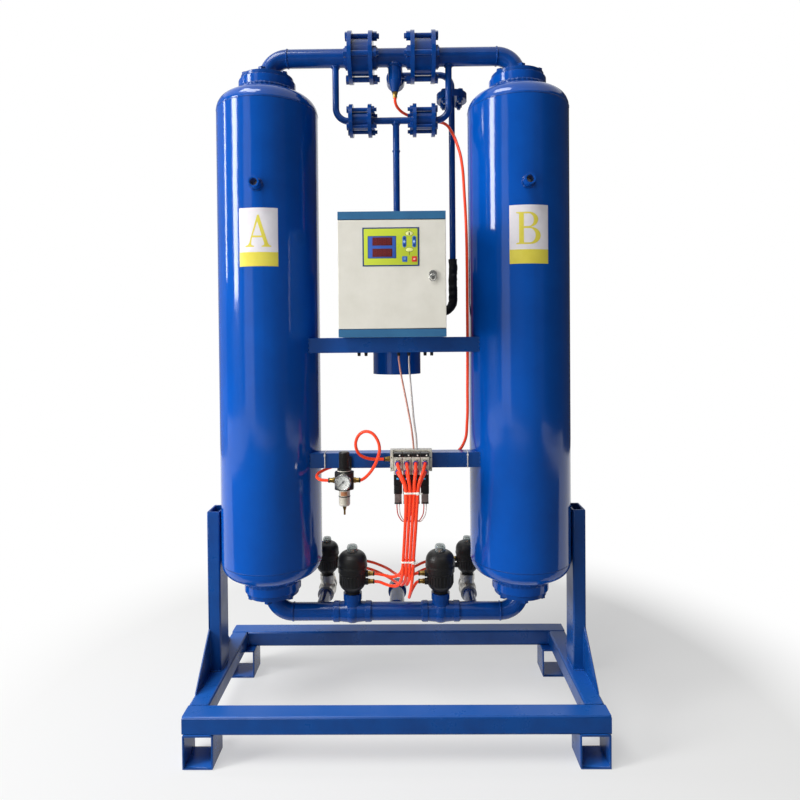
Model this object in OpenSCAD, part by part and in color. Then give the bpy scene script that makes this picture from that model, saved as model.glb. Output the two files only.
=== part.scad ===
// Twin tower desiccant air dryer with heated purge, on a welded skid.
// Millimetres, Z up, front towards -Y, origin on the floor under the middle of the skid.

/* [Towers] */
// Distance between the two tower axes
tower_pitch = 686; // [660:2:730]
// Outside diameter of a tower shell
tower_d = 273; // [255:1:285]
// Wall thickness of shell and heads
tower_t = 6; // [4:0.5:8]
// Height of the lower end of the straight shell
shell_z = 430; // [420:2:470]
// Length of the straight shell
shell_h = 1220; // [1160:10:1320]
// Outside diameter of the pad ring on each head
pad_d = 154; // [148:1:162]
// Rise of the pad face above the top of the head
pad_rise = 14.5; // [12:0.5:20]
// Diameter of the fill opening in each head
fill_d = 96; // [86:1:98]
// Diameter of the four cover plates
cover_d = 142; // [138:1:146]
// Thickness of the cover plates
cover_t = 10; // [8:0.5:16]
// Thickness of the cover gaskets
gasket_t = 3; // [1:0.5:4]
// Bolts in each cover
cover_bolt_count = 6; // [4:1:8]
// Thread diameter of the cover bolts
cover_bolt_d = 12; // [10:1:12]
// Height of the pressure ports on the tower fronts
port_z = 1425; // [1400:5:1500]
// Outside diameter of a pressure port
port_d = 28; // [26:1:34]
// Bore of a pressure port
port_hole_d = 18.6; // [15:0.2:20]
// Length of a pressure port in front of the shell
port_l = 30; // [20:1:40]

/* [Desiccant] */
// Thickness of the bed screens
screen_t = 4; // [3:0.5:6]
// Depth of the empty space left above the desiccant
bed_gap = 25; // [10:1:60]

/* [Skid] */
// Depth of the skid from front to back
skid_d = 464; // [450:2:520]
// Width of a rail
rail_w = 50; // [40:1:60]
// Height of a rail
rail_h = 45; // [40:1:60]
// Wall of the rail tube
rail_t = 4; // [3:0.5:6]
// Width of a foot
foot_w = 75; // [65:1:90]
// Length of a foot
foot_l = 78; // [60:1:100]
// Height of a foot
foot_h = 83; // [70:1:100]
// Wall of the foot tube
foot_t = 5; // [3:0.5:8]
// Width of an upright
upright_w = 35; // [32:1:45]
// Depth of an upright
upright_d = 70; // [60:1:80]
// Height of an upright above the rails
upright_h = 437; // [400:5:500]
// Wall of the upright tube
upright_t = 4; // [3:0.5:6]
// Height of a gusset plate
gusset_h = 116; // [80:2:150]
// Length of a gusset plate
gusset_l = 111; // [80:1:140]
// Thickness of a gusset plate
gusset_t = 6; // [4:0.5:8]

/* [Bars] */
// Leg of the two angle bars
bar_w = 40; // [36:1:46]
// Thickness of the angle bars
bar_t = 4; // [3:0.5:6]
// Distance of the bar fronts before the tower axes
bar_y = 70; // [60:1:80]
// Height of the top of the shelf bar
shelf_z = 1036; // [1000:2:1060]
// Height of the top of the instrument bar
instrument_z = 730; // [700:2:760]

/* [Main pipework] */
// Outside diameter of the main pipes
pipe_d = 48.3; // [42:0.1:52]
// Wall of the main pipes
pipe_t = 3.6; // [2.5:0.1:5]
// Centreline radius of the main elbows
elbow_r = 57; // [50:1:66]
// Diameter of the main flanges
flange_d = 135; // [132:1:145]
// Thickness of the main flanges
flange_t = 11; // [9:0.5:16]
// Bolt circle of the main flanges
flange_pcd = 110; // [106:1:116]
// Bolt hole in the main flanges
flange_hole_d = 16; // [15:0.5:17]
// Diameter of the hub behind each main flange
hub_d = 62; // [58:1:66]
// Length of the hub behind each main flange
hub_l = 9; // [6:1:14]
// Thread diameter of the main studs
stud_d = 14; // [12:1:15]
// Outside diameter of the inlet and outlet pipes
back_d = 42.4; // [38:0.1:44]
// Length of the inlet and outlet pipes behind the tower axes
back_l = 160; // [158:1:200]
// Diameter of the screwed sockets on their ends
back_socket_d = 54; // [52:1:56]
// Length of the screwed sockets
back_socket_l = 34; // [30:1:36]
// Inner face of the check valve flanges from the middle plane
check_x = 51; // [44:1:60]
// Width of the check valve bodies
check_w = 45; // [40:1:52]
// Diameter of the check valve bodies
check_d = 92; // [84:1:93]
// Turn of the flange bolts from upright, in degrees
bolt_turn = 12; // [0:1:45]
// Lift of a check valve disc
check_lift = 8; // [4:1:10]
// Offset of the tap stub from the middle plane
tap_x = 8; // [0:1:12]
// Length of the tap stub below the pipe
tap_l = 70; // [60:1:80]

/* [Purge circuit] */
// Outside diameter of the purge pipes
small_d = 18; // [16:0.5:21]
// Wall of the purge pipes
small_t = 2.5; // [2:0.5:3]
// Centreline radius of the purge pipe bends
small_bend = 36; // [30:1:40]
// Distance of the purge line below the outlet line
purge_drop = 172; // [165:1:190]
// Inner face of the purge valve flanges from the middle plane
purge_x = 56; // [50:1:62]
// Width of the purge valve bodies
purge_w = 41; // [36:1:46]
// Diameter of the purge flanges
purge_flange_d = 88; // [84:1:94]
// Thickness of the purge flanges
purge_flange_t = 10; // [8:0.5:12]
// Bolt circle of the purge flanges
purge_pcd = 64; // [62:1:66]
// Diameter of the purge valve bodies
purge_body_d = 50; // [44:1:50]
// Thread diameter of the purge studs
purge_stud_d = 10; // [8:1:10]
// Lift of a purge valve disc
purge_lift = 5; // [3:1:6]
// Offset of the riser from the middle plane
riser_x = 10; // [0:1:20]
// Height where the riser enters the heater
riser_z = 1196; // [1180:2:1204]
// Offset of the feed pipe from the middle plane
feed_x = 172; // [165:1:180]
// Distance of the feed joint below the outlet line
feed_joint = 68; // [62:1:80]
// Height where the feed pipe enters the heater
feed_z = 1110; // [1090:2:1130]
// Outside diameter of the pipe insulation
lagging_d = 25; // [23:0.5:30]
// Height of the upper end of the pipe insulation
lagging_z = 1265; // [1220:5:1300]

/* [Heater] */
// Diameter of the heater vessel
heater_d = 140; // [130:1:150]
// Wall of the heater vessel
heater_t = 4; // [3:0.5:6]
// Offset of the heater from the middle plane
heater_x = 5; // [0:1:10]
// Distance of the heater axis behind the tower axes
heater_y = 110; // [105:1:125]
// Height of the underside of the heater
heater_z = 931; // [900:1:960]
// Height of the heater vessel
heater_h = 300; // [290:5:330]

/* [Control valves] */
// Main valve axis from the middle plane
valve_x = 122; // [116:1:130]
// Length of a main valve body
valve_l = 100; // [90:1:104]
// Diameter of the valve sockets
socket_d = 56; // [53:1:60]
// Diameter of the valve bulge
bulge_d = 62; // [60:1:66]
// Diameter of the valve collar
collar_d = 51; // [48:1:56]
// Diameter of a main actuator
actuator_d = 81; // [78:1:88]
// Size of the exhaust valves as a share of the main ones
exhaust_share = 0.85; // [0.8:0.01:0.9]
// Exhaust valve axis from the middle plane
exhaust_x = 212; // [205:1:220]
// Exhaust valve axis behind the tower axes
exhaust_y = 150; // [145:1:155]
// Outside diameter of the exhaust pipes
exhaust_d = 33.7; // [30:0.1:36]
// Stroke of a main valve stem
stem_stroke = 12; // [8:1:14]

/* [Control case] */
// Width of the control case
case_w = 260; // [250:2:290]
// Height of the control case
case_h = 302; // [290:2:330]
// Depth of the control case
case_d = 196; // [170:2:200]
// Distance of the back of the case before the tower axes
case_back = 14; // [12:1:20]
// Sheet thickness of case and door
case_t = 2; // [1.5:0.5:3]
// Height of the strips above and below the door
strip_h = 19; // [16:1:24]
// Depth of the door pan
door_t = 16; // [14:1:20]
// Gap above and below the door
door_gap = 1.5; // [1:0.5:2.5]
// Gap behind the door for its seal
seal_t = 3; // [2.5:0.5:5]
// Width of the display panel
panel_w = 136; // [120:1:150]
// Height of the display panel
panel_h = 93; // [84:1:100]
// Door lock from the edge of the case
lock_in = 32; // [28:1:40]
// Door lock above the underside of the case
lock_z = 150; // [130:1:160]

/* [Air set] */
// Regulator axis from the middle plane
reg_x = -130; // [-140:1:-120]
// Regulator axis before the tower axes
reg_y = 112; // [106:1:120]
// Height of the regulator body centre
reg_z = 668; // [660:1:676]
// Width of the regulator body
reg_w = 48; // [44:1:52]
// Diameter of the regulator knob
knob_d = 28; // [24:1:32]
// Diameter of the pressure gauge
gauge_d = 40; // [36:1:42]
// Diameter of the filter bowl
bowl_d = 29; // [26:1:32]
// Length of the filter bowl
bowl_l = 43; // [36:1:50]

/* [Solenoid valves] */
// Middle of the solenoid manifold from the middle plane
bank_x = 43; // [36:1:50]
// Width of the solenoid manifold
bank_w = 109; // [104:1:116]
// Height of the top of the manifold
bank_z = 742; // [734:1:748]
// Height of the manifold base
bank_h = 55; // [50:1:60]
// Depth of the manifold base
bank_d = 22; // [18:1:26]
// Distance between the solenoid valves
sol_pitch = 23; // [22:0.5:25]
// Width of a solenoid valve
sol_w = 21.5; // [20:0.5:21.5]
// Depth of a solenoid valve
sol_d = 32; // [28:1:36]
// Length of a coil
coil_h = 74; // [66:1:80]

/* [Air tubes] */
// Outside diameter of the air tubes
tube_d = 8; // [6:0.5:8]
// Outside diameter of the signal cables
cable_d = 5; // [4:0.5:5]

/* [Fits] */
// Clearance between still pieces
fit_gap = 0.3; // [0.2:0.05:0.5]
// Radial clearance of running fits
run_gap = 0.05; // [0.03:0.01:0.1]

/* [Hidden] */
$fn = 48;

blue = "#1a4fb0";
zinc = "#b9bcc0";
black = "#1c1c1b";
brass = "#c9a75a";
alloy = "#cfcabc";
orange = "#f4532c";

// Small overlap that keeps cuts clear of coplanar faces
cut = 1;
mid_x = tower_pitch / 2;
tower_r = tower_d / 2;
skid_half_w = mid_x + tower_r + fit_gap + upright_w;
skid_half_d = skid_d / 2;
rail_top = foot_h + rail_h;

// Torispherical head: crown and knuckle radii follow the shell diameter
crown_r = 0.8 * tower_d;
knuckle_r = 0.154 * tower_d;
knuckle_x = tower_r - knuckle_r;
crown_a = asin(knuckle_x / (crown_r - knuckle_r));
crown_z = -(crown_r - knuckle_r) * cos(crown_a);
head_h = crown_z + crown_r;
pad_h = head_h + pad_rise;
arc_steps = 10;
shell_top = shell_z + shell_h;
top_face = shell_top + pad_h;
bottom_face = shell_z - pad_h;
cover_stack = gasket_t + cover_t;
cover_pcd = (fill_d + cover_d) / 2;
cover_hole_d = cover_bolt_d + 1.5;
thread_l = 16;

pipe_r = pipe_d / 2;
pipe_in_r = pipe_r - pipe_t;
upper_z = top_face + cover_stack + elbow_r;
lower_z = bottom_face - cover_stack - elbow_r;
check_out = check_x + 2 * flange_t + check_w;
back_thread_r = back_d / 2 - 1.7;
back_thread_l = 20;
stud_nut_h = 0.8 * stud_d;
stud_hex_r = 0.866 * stud_d;
stud_end = 6;

small_r = small_d / 2;
small_in_r = small_r - small_t;
purge_z = upper_z - purge_drop;
purge_out = purge_x + 2 * purge_flange_t + purge_w;
drop_x = purge_out + small_bend + 2;
purge_hole_d = purge_stud_d + 1.5;
purge_nut_h = 0.8 * purge_stud_d;
purge_hex_r = 0.98 * purge_stud_d;
joint_z = upper_z - feed_joint;
riser_end = riser_z + small_bend;
heater_top = heater_z + heater_h;
heater_side = heater_x + heater_d / 2;
heater_front = heater_y - heater_d / 2;
plug_r = 30;
check_seat = pipe_in_r;
check_room = pipe_in_r + 9;
check_guide = 4;
purge_seat = small_in_r + 1;
purge_room = small_in_r + 8;
purge_guide = 2.5;

valve_half = valve_l / 2;
valve_out = valve_x + valve_half;
valve_in = valve_x - valve_half;
socket_l = 14;
bulge_r = bulge_d / 2;
neck_z = 35;
collar_z = 53;
seat_z = 4;
seat_r = 12;
chamber_r = 19;
stem_r = 5;
plug_t = 6;
act_r = actuator_d / 2;
act_joint = 128;
act_top = 168;
act_neck_r = 20;
piston_z = 104;
piston_t = 8;
cylinder_r = act_r - 8;
cap_r = 15;
cap_h = 17;
act_port_z = [83, 105];
act_port_r = 5;
act_port_l = 14;
act_face = act_r + 3;
exhaust_end = exhaust_y + valve_half * exhaust_share;
silencer_inset = 2;
silencer_l = skid_half_d - silencer_inset - exhaust_end;

case_z = shelf_z;
case_top = case_z + case_h;
case_front = -case_back - case_d;
door_z = case_z + strip_h + door_gap;
door_h = case_h - 2 * strip_h - 2 * door_gap;
door_back = case_front + door_t;
lip_y = door_back + seal_t;
lip_w = 12;
hinge_x = -case_w / 2 + 6;
hinge_y = case_front + 8;
hinge_pin_r = 2.5;
hinge_pin_l = 8;
panel_x = -2.5;
panel_z = case_top - 39 - panel_h;
panel_t = 0.8;
lock_x = case_w / 2 - lock_in;
lock_r = 9.5;
lock_barrel_r = 8;
cam_l = 32;
gland_spots = [-96, -77, 12, 40, 84, 102];
gland_y = -(bar_y - bar_w + case_back) / 2;
gland_r = 5;
gland_hex_r = 6.8;
gland_l = 50;

gauge_r = gauge_d / 2;
reg_half_h = 22;
reg_top = reg_z + reg_half_h;
reg_low = reg_z - reg_half_h;
reg_front = -reg_y - reg_w / 2;
gauge_z = reg_z + 3;
gauge_t = 18;
knob_h = 42;
knob_z = reg_top + 10;

bank_back = -bar_y;
bank_front = bank_back - bank_d;
sol_front = bank_front - sol_d;
sol_low = bank_z - 58;
sol_cap_h = 13;
fit_rows = [bank_z - 26, bank_z - 48];
fit_l = 20;

// Square tube along X, Y or Z, standing from the origin corner
module box_tube_x(l, w, h, t) {
    difference() {
        cube([l, w, h]);
        translate([-cut, t, t]) cube([l + 2 * cut, w - 2 * t, h - 2 * t]);
    }
}

// Round bar along X from x0 to x1
module rod_x(r, x0, x1) {
    translate([x0, 0, 0]) rotate([0, 90, 0]) cylinder(r = r, h = x1 - x0);
}

// Round bar along Y from y0 to y1
module rod_y(r, y0, y1) {
    translate([0, y0, 0]) rotate([-90, 0, 0]) cylinder(r = r, h = y1 - y0);
}

// Quarter bend in the XZ plane, from straight up at X = bend to straight along -X at the top
module bend90(bend, r) {
    rotate([90, 0, 0]) rotate_extrude(angle = 90) translate([bend, 0]) circle(r = r);
}

// Places one child at each bolt position of a circle that faces along X
module bolt_circle_x(pcd, count, turn) {
    for (i = [0 : count - 1]) {
        rotate([turn + i * 360 / count, 0, 0]) translate([0, 0, pcd / 2]) children();
    }
}

// Round flange along X from x = 0, with four bolt holes
module flange_x(d, t, pcd, hole_d, turn) {
    difference() {
        rod_x(d / 2, 0, t);
        bolt_circle_x(pcd, 4, turn) rod_x(hole_d / 2, -cut, t + cut);
    }
}

// Main flange with its face at x = 0, the hub behind it towards +X
module main_flange_x(turn) {
    flange_x(flange_d, flange_t, flange_pcd, flange_hole_d, turn);
    rod_x(hub_d / 2, flange_t - cut, flange_t + hub_l);
}

module purge_flange_x() {
    flange_x(purge_flange_d, purge_flange_t, purge_pcd, purge_hole_d, 45);
}

module mirrored_x() {
    children();
    mirror([1, 0, 0]) children();
}

// Skid
module cross_rails() {
    color(blue) for (y = [-skid_half_d, skid_half_d - rail_w]) {
        translate([-skid_half_w, y, foot_h]) box_tube_x(2 * skid_half_w, rail_w, rail_h, rail_t);
    }
}

module side_rails() {
    run = skid_d - 2 * rail_w;
    color(blue) mirrored_x() {
        translate([skid_half_w, -run / 2, foot_h])
            rotate([0, 0, 90]) box_tube_x(run, rail_w, rail_h, rail_t);
    }
}

module skid_feet() {
    color(blue) mirrored_x() for (y = [-skid_half_d, skid_half_d - foot_l]) {
        translate([skid_half_w, y, 0]) rotate([0, 0, 90]) box_tube_x(foot_l, foot_w, foot_h, foot_t);
    }
}

module gusset() {
    translate([skid_half_w - gusset_t, -upright_d / 2, rail_top]) rotate([90, 0, 90])
        linear_extrude(gusset_t) polygon([[0, 0], [-gusset_l, 0], [0, gusset_h]]);
}

module uprights() {
    color(blue) mirrored_x() {
        difference() {
            translate([skid_half_w - upright_w, -upright_d / 2, rail_top])
                cube([upright_w, upright_d, upright_h]);
            translate([skid_half_w - upright_w + upright_t, -upright_d / 2 + upright_t, rail_top - cut])
                cube([upright_w - 2 * upright_t, upright_d - 2 * upright_t, upright_h + 2 * cut]);
        }
        gusset();
        mirror([0, 1, 0]) gusset();
    }
}

// Angle bar between the towers, coped to their shells
module angle_bar(top) {
    difference() {
        translate([-mid_x, -bar_y, top - bar_w]) cube([2 * mid_x, bar_w, bar_w]);
        translate([-mid_x - cut, -bar_y + bar_t, top - bar_w - cut])
            cube([2 * mid_x + 2 * cut, bar_w, bar_w - bar_t + cut]);
        mirrored_x() translate([mid_x, 0, top - bar_w - cut])
            cylinder(r = tower_r + fit_gap, h = bar_w + 2 * cut);
    }
}

module shelf_bar() {
    color(blue) angle_bar(shelf_z);
}

module instrument_bar() {
    color(blue) angle_bar(instrument_z);
}

// Towers
function crown_point(inset, a) = [(crown_r - inset) * sin(a), crown_z + (crown_r - inset) * cos(a)];
function knuckle_point(inset, a) =
    [knuckle_x + (knuckle_r - inset) * cos(a), (knuckle_r - inset) * sin(a)];
function crown_arc(inset, r) = let (a0 = asin(r / (crown_r - inset)))
    [for (i = [0 : arc_steps]) crown_point(inset, a0 + (crown_a - a0) * i / arc_steps)];
function knuckle_arc(inset) =
    [for (i = [1 : arc_steps]) knuckle_point(inset, (90 - crown_a) * (1 - i / arc_steps))];
function backwards(p) = [for (i = [len(p) - 1 : -1 : 0]) p[i]];
function raised(p) = [for (q = p) [q[0], shell_top + q[1]]];
function lowered(p) = [for (q = p) [q[0], shell_z - q[1]]];
function head_outside() = concat([[fill_d / 2, pad_h], [pad_d / 2, pad_h]],
    crown_arc(0, pad_d / 2), knuckle_arc(0));
function head_inside() = concat(crown_arc(tower_t, fill_d / 2), knuckle_arc(tower_t));

module cover_bolt_places() {
    for (i = [0 : cover_bolt_count - 1]) {
        rotate([0, 0, (i + 0.5) * 360 / cover_bolt_count]) translate([cover_pcd / 2, 0, 0]) children();
    }
}

// Places children at a pad face, with Z pointing away from the tower
module at_pads() {
    translate([0, 0, top_face]) children();
    translate([0, 0, bottom_face]) rotate([180, 0, 0]) children();
}

module tower() {
    color(blue) difference() {
        union() {
            rotate_extrude() polygon(concat(raised(head_outside()), backwards(lowered(head_outside())),
                lowered(head_inside()), backwards(raised(head_inside()))));
            difference() {
                translate([0, 0, port_z]) rod_y(port_d / 2, -tower_r - port_l, -tower_r + tower_t);
                translate([0, 0, port_z - port_d]) cylinder(r = tower_r - tower_t / 2, h = 2 * port_d);
            }
        }
        translate([0, 0, port_z]) rod_y(port_hole_d / 2, -tower_r - port_l - cut, -tower_r / 2);
        at_pads() cover_bolt_places() translate([0, 0, -thread_l - 2])
            cylinder(d = cover_bolt_d + 2 * run_gap, h = thread_l + 2 + cut);
    }
}

module tower_a() {
    translate([-mid_x, 0, 0]) tower();
}

module tower_b() {
    translate([mid_x, 0, 0]) tower();
}

// Perforated plates that hold the beads, one above and one below each bed
module bed_screens() {
    hole_r = 4;
    hole_pitch = 24;
    color(zinc) mirrored_x() for (z = [shell_z, shell_top - screen_t]) translate([mid_x, 0, z]) {
        difference() {
            cylinder(r = tower_r - tower_t - fit_gap, h = screen_t);
            for (i = [-4 : 4], j = [-4 : 4]) {
                if (norm([i, j]) < 4.5) translate([i * hole_pitch, j * hole_pitch, -cut])
                    cylinder(r = hole_r, h = screen_t + 2 * cut);
            }
        }
    }
}

module desiccant_beds() {
    color("#e8e4d8") mirrored_x() translate([mid_x, 0, shell_z + screen_t + fit_gap])
        cylinder(r = tower_r - tower_t - fit_gap, h = shell_h - 2 * screen_t - bed_gap);
}

module cover_gaskets() {
    color("#2b2b2b") mirrored_x() translate([mid_x, 0, 0]) at_pads() difference() {
        cylinder(d = cover_d - 8, h = gasket_t);
        translate([0, 0, -cut]) cylinder(d = fill_d, h = gasket_t + 2 * cut);
        cover_bolt_places() translate([0, 0, -cut]) cylinder(d = cover_hole_d, h = gasket_t + 2 * cut);
    }
}

module cover_bolts() {
    hex_h = 0.63 * cover_bolt_d;
    color(zinc) mirrored_x() translate([mid_x, 0, 0]) at_pads() cover_bolt_places() {
        translate([0, 0, -thread_l]) cylinder(d = cover_bolt_d, h = thread_l + cover_stack);
        translate([0, 0, cover_stack]) cylinder(r = 0.866 * cover_bolt_d, h = hex_h, $fn = 6);
    }
}

// Cover plate with its bolt holes, on the gasket, Z away from the tower
module cover_plate() {
    translate([0, 0, gasket_t]) difference() {
        cylinder(d = cover_d, h = cover_t);
        cover_bolt_places() translate([0, 0, -cut]) cylinder(d = cover_hole_d, h = cover_t + 2 * cut);
    }
}

// Elbow and straight pipe of one arm at X > 0, up = 1 above the tower or -1 below it
module arm_run(r, x_end, up) {
    face = up > 0 ? top_face + cover_stack : bottom_face - cover_stack;
    translate([mid_x - elbow_r, 0, face]) rotate([up > 0 ? 0 : 180, 0, 0]) bend90(elbow_r, r);
    translate([0, 0, face + up * elbow_r]) rod_x(r, x_end, mid_x - elbow_r);
}

module arm_bore(x_end, up) {
    pad = up > 0 ? top_face : bottom_face;
    arm_run(pipe_in_r, x_end - cut, up);
    translate([mid_x, 0, pad]) rotate([up > 0 ? 0 : 180, 0, 0])
        cylinder(r = pipe_in_r, h = cover_stack);
}

// Purge drop from the arm down to its check valve
module drop_run(r, x_end) {
    translate([drop_x, 0, purge_z + small_bend]) cylinder(r = r, h = purge_drop - small_bend);
    translate([drop_x - small_bend, 0, purge_z + small_bend])
        rotate([180, 0, 0]) bend90(small_bend, r);
    translate([0, 0, purge_z]) rod_x(r, x_end, drop_x - small_bend);
}

module upper_arm() {
    color(blue) difference() {
        union() {
            translate([mid_x, 0, top_face]) cover_plate();
            arm_run(pipe_r, check_out, 1);
            translate([check_out - flange_t, 0, upper_z]) main_flange_x(bolt_turn);
            drop_run(small_r, purge_out);
            translate([purge_out - purge_flange_t, 0, purge_z]) purge_flange_x();
        }
        arm_bore(check_out - flange_t, 1);
        drop_run(small_in_r, purge_out - purge_flange_t - cut);
    }
}

module upper_pipe_a() {
    mirror([1, 0, 0]) upper_arm();
}

module upper_pipe_b() {
    upper_arm();
}

// Pipe that leaves the middle of a line towards the back and ends in a screwed socket,
// thinner than the line so that the two meet in a clean seam
module back_port() {
    rod_y(back_d / 2, 0, back_l - 2);
    rod_y(back_socket_d / 2, back_l - back_socket_l, back_l);
}

module back_port_bore() {
    rod_y(back_d / 2 - pipe_t, 0, back_l - cut);
    rod_y(back_thread_r, back_l - back_thread_l, back_l + cut);
}

// Purge feed branch from the outlet pipe to its flanged joint
module branch_run(r, low) {
    translate([feed_x - small_bend, heater_y, upper_z - small_bend]) bend90(small_bend, r);
    translate([0, heater_y, upper_z]) rod_x(r, 0, feed_x - small_bend);
    translate([feed_x, heater_y, low]) cylinder(r = r, h = upper_z - small_bend - low);
}

module joint_flange() {
    rotate([0, -90, 0]) purge_flange_x();
}

module outlet_tee() {
    cone_l = 0.4 * tap_l;
    color(blue) difference() {
        union() {
            translate([0, 0, upper_z]) {
                rod_x(pipe_r, -check_x, check_x);
                mirrored_x() translate([check_x + flange_t, 0, 0])
                    mirror([1, 0, 0]) main_flange_x(bolt_turn);
                translate([tap_x, 0, 0]) back_port();
                translate([tap_x, 0, -pipe_r - tap_l + cone_l])
                    cylinder(r = 18, h = pipe_r + tap_l - cone_l);
                translate([tap_x, 0, -pipe_r - tap_l]) cylinder(r1 = 9, r2 = 18, h = cone_l);
            }
            branch_run(small_r, joint_z);
            translate([feed_x, heater_y, joint_z]) joint_flange();
        }
        translate([0, 0, upper_z]) {
            rod_x(pipe_in_r, -check_x - flange_t - cut, check_x + flange_t + cut);
            translate([tap_x, 0, 0]) back_port_bore();
            translate([tap_x, 0, -pipe_r - tap_l - cut]) cylinder(r = 4, h = pipe_r + tap_l);
        }
        branch_run(small_in_r, joint_z - cut);
    }
}

// Check valves
module check_body(d, w, seat, room, guide) {
    arm_t = 4;
    difference() {
        rod_x(d / 2, 0, w);
        rod_x(seat, -cut, w / 3);
        rod_x(room, w / 4, w - arm_t);
        difference() {
            rod_x(room, w - arm_t - cut, w + cut);
            rod_x(guide + 3, w - arm_t - 2 * cut, w + 2 * cut);
            for (a = [0, 120, 240]) rotate([a, 0, 0])
                translate([w - arm_t - 2 * cut, -arm_t / 2, 0]) cube([arm_t + 4 * cut, arm_t, room + cut]);
        }
        rod_x(guide + run_gap, w - arm_t - cut, w + cut);
    }
}

// Disc with its guide stem, shut against the seat
module check_disc(w, room, guide) {
    rod_x(room - 3, w / 4 + fit_gap, w / 4 + 5);
    rod_x(guide, w / 4 + 4, w - 0.5);
}

module main_check_place() {
    translate([check_x + flange_t + check_w, 0, upper_z]) mirror([1, 0, 0]) children();
}

module purge_check_place() {
    translate([purge_x + purge_flange_t, 0, purge_z]) children();
}

module check_bodies() {
    color(blue) mirrored_x() {
        main_check_place() check_body(check_d, check_w, check_seat, check_room, check_guide);
        purge_check_place() check_body(purge_body_d, purge_w, purge_seat, purge_room, purge_guide);
    }
}

module main_disc() {
    color(zinc) main_check_place() check_disc(check_w, check_room, check_guide);
}

module purge_disc() {
    color(zinc) purge_check_place() check_disc(purge_w, purge_room, purge_guide);
}

module check_disc_a() {
    mirror([1, 0, 0]) main_disc();
}

module check_disc_b() {
    main_disc();
}

module purge_disc_a() {
    mirror([1, 0, 0]) purge_disc();
}

module purge_disc_b() {
    purge_disc();
}

// Stud along X with a hexagon head before x = 0 and a nut after x = l
module stud_x(d, l, hex_r, nut_h) {
    rod_x(d / 2, 0, l + nut_h + stud_end);
    translate([-0.8 * nut_h, 0, 0]) rotate([0, 90, 0]) cylinder(r = hex_r, h = 0.8 * nut_h, $fn = 6);
    translate([l, 0, 0]) rotate([0, 90, 0]) cylinder(r = hex_r, h = nut_h, $fn = 6);
}

module flange_studs() {
    main_l = check_w + 2 * flange_t;
    purge_l = purge_w + 2 * purge_flange_t;
    color(blue) mirrored_x() {
        translate([check_out, 0, upper_z]) mirror([1, 0, 0]) bolt_circle_x(flange_pcd, 4, bolt_turn)
            stud_x(stud_d, main_l, stud_hex_r, stud_nut_h);
        translate([purge_out, 0, purge_z]) mirror([1, 0, 0]) bolt_circle_x(purge_pcd, 4, 45)
            stud_x(purge_stud_d, purge_l, purge_hex_r, purge_nut_h);
    }
    color(blue) translate([feed_x, heater_y, joint_z + purge_flange_t]) rotate([0, 90, 0])
        bolt_circle_x(purge_pcd, 4, 45)
        stud_x(purge_stud_d, 2 * purge_flange_t, purge_hex_r, purge_nut_h);
}

// Purge line with its riser down to the heater
module riser_run(r, extra) {
    translate([riser_x, 0, riser_end]) cylinder(r = r, h = purge_z - riser_end);
    translate([riser_x, small_bend, riser_end]) rotate([180, 0, -90]) bend90(small_bend, r);
    translate([riser_x, 0, riser_z]) rod_y(r, small_bend, heater_front + heater_t + extra);
}

module purge_tee() {
    color(blue) difference() {
        union() {
            translate([0, 0, purge_z]) {
                rod_x(small_r, -purge_x, purge_x);
                translate([purge_x, 0, 0]) purge_flange_x();
                translate([-purge_x - purge_flange_t, 0, 0]) purge_flange_x();
            }
            riser_run(small_r, 0);
        }
        translate([0, 0, purge_z])
            rod_x(small_in_r, -purge_x - purge_flange_t - cut, purge_x + purge_flange_t + cut);
        riser_run(small_in_r, cut);
    }
}

module feed_run(r, x_end, high) {
    translate([feed_x, heater_y, feed_z + small_bend]) cylinder(r = r, h = high - feed_z - small_bend);
    translate([feed_x - small_bend, heater_y, feed_z + small_bend])
        rotate([180, 0, 0]) bend90(small_bend, r);
    translate([0, heater_y, feed_z]) rod_x(r, x_end, feed_x - small_bend);
}

module purge_feed_pipe() {
    color(blue) difference() {
        union() {
            feed_run(small_r, heater_side - heater_t, joint_z);
            translate([feed_x, heater_y, joint_z - purge_flange_t]) joint_flange();
        }
        feed_run(small_in_r, heater_side - heater_t - cut, joint_z + cut);
    }
}

module pipe_insulation() {
    color(black) difference() {
        feed_run(lagging_d / 2, heater_side + 2, lagging_z);
        feed_run(small_r + fit_gap, heater_side + 2 - cut, lagging_z + cut);
    }
}

module heater_vessel() {
    color(blue) translate([heater_x, heater_y, heater_z]) difference() {
        cylinder(d = heater_d, h = heater_h);
        translate([0, 0, heater_t]) cylinder(d = heater_d - 2 * heater_t, h = heater_h - 2 * heater_t);
        translate([0, 0, heater_h - heater_t - cut]) cylinder(r = plug_r + fit_gap, h = heater_t + 2 * cut);
        translate([riser_x - heater_x, 0, riser_z - heater_z]) rod_y(small_r + fit_gap, -heater_d, 0);
        translate([0, 0, feed_z - heater_z]) rod_x(small_r + fit_gap, 0, heater_d);
    }
}

// Three hairpin rods that hang from a screwed plug in the top of the heater
module heater_element() {
    rod_r = 4;
    bend = 9;
    rod_l = heater_h - 80;
    color(zinc) translate([heater_x, heater_y, heater_top]) rotate([180, 0, 0]) {
        cylinder(r = plug_r, h = heater_t + 6);
        translate([0, 0, -12]) cylinder(r = plug_r + 8, h = 12, $fn = 6);
        translate([0, 0, -50]) cylinder(r = plug_r - 4, h = 39);
        for (a = [0, 120, 240]) rotate([0, 0, a]) translate([16, 0, heater_t + 5]) {
            for (s = [-1, 1]) translate([0, s * bend, 0]) cylinder(r = rod_r, h = rod_l);
            translate([0, 0, rod_l]) rotate([0, 0, 90]) rotate([90, 0, 0])
                rotate_extrude(angle = 180) translate([bend, 0]) circle(r = rod_r);
        }
    }
}

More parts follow.
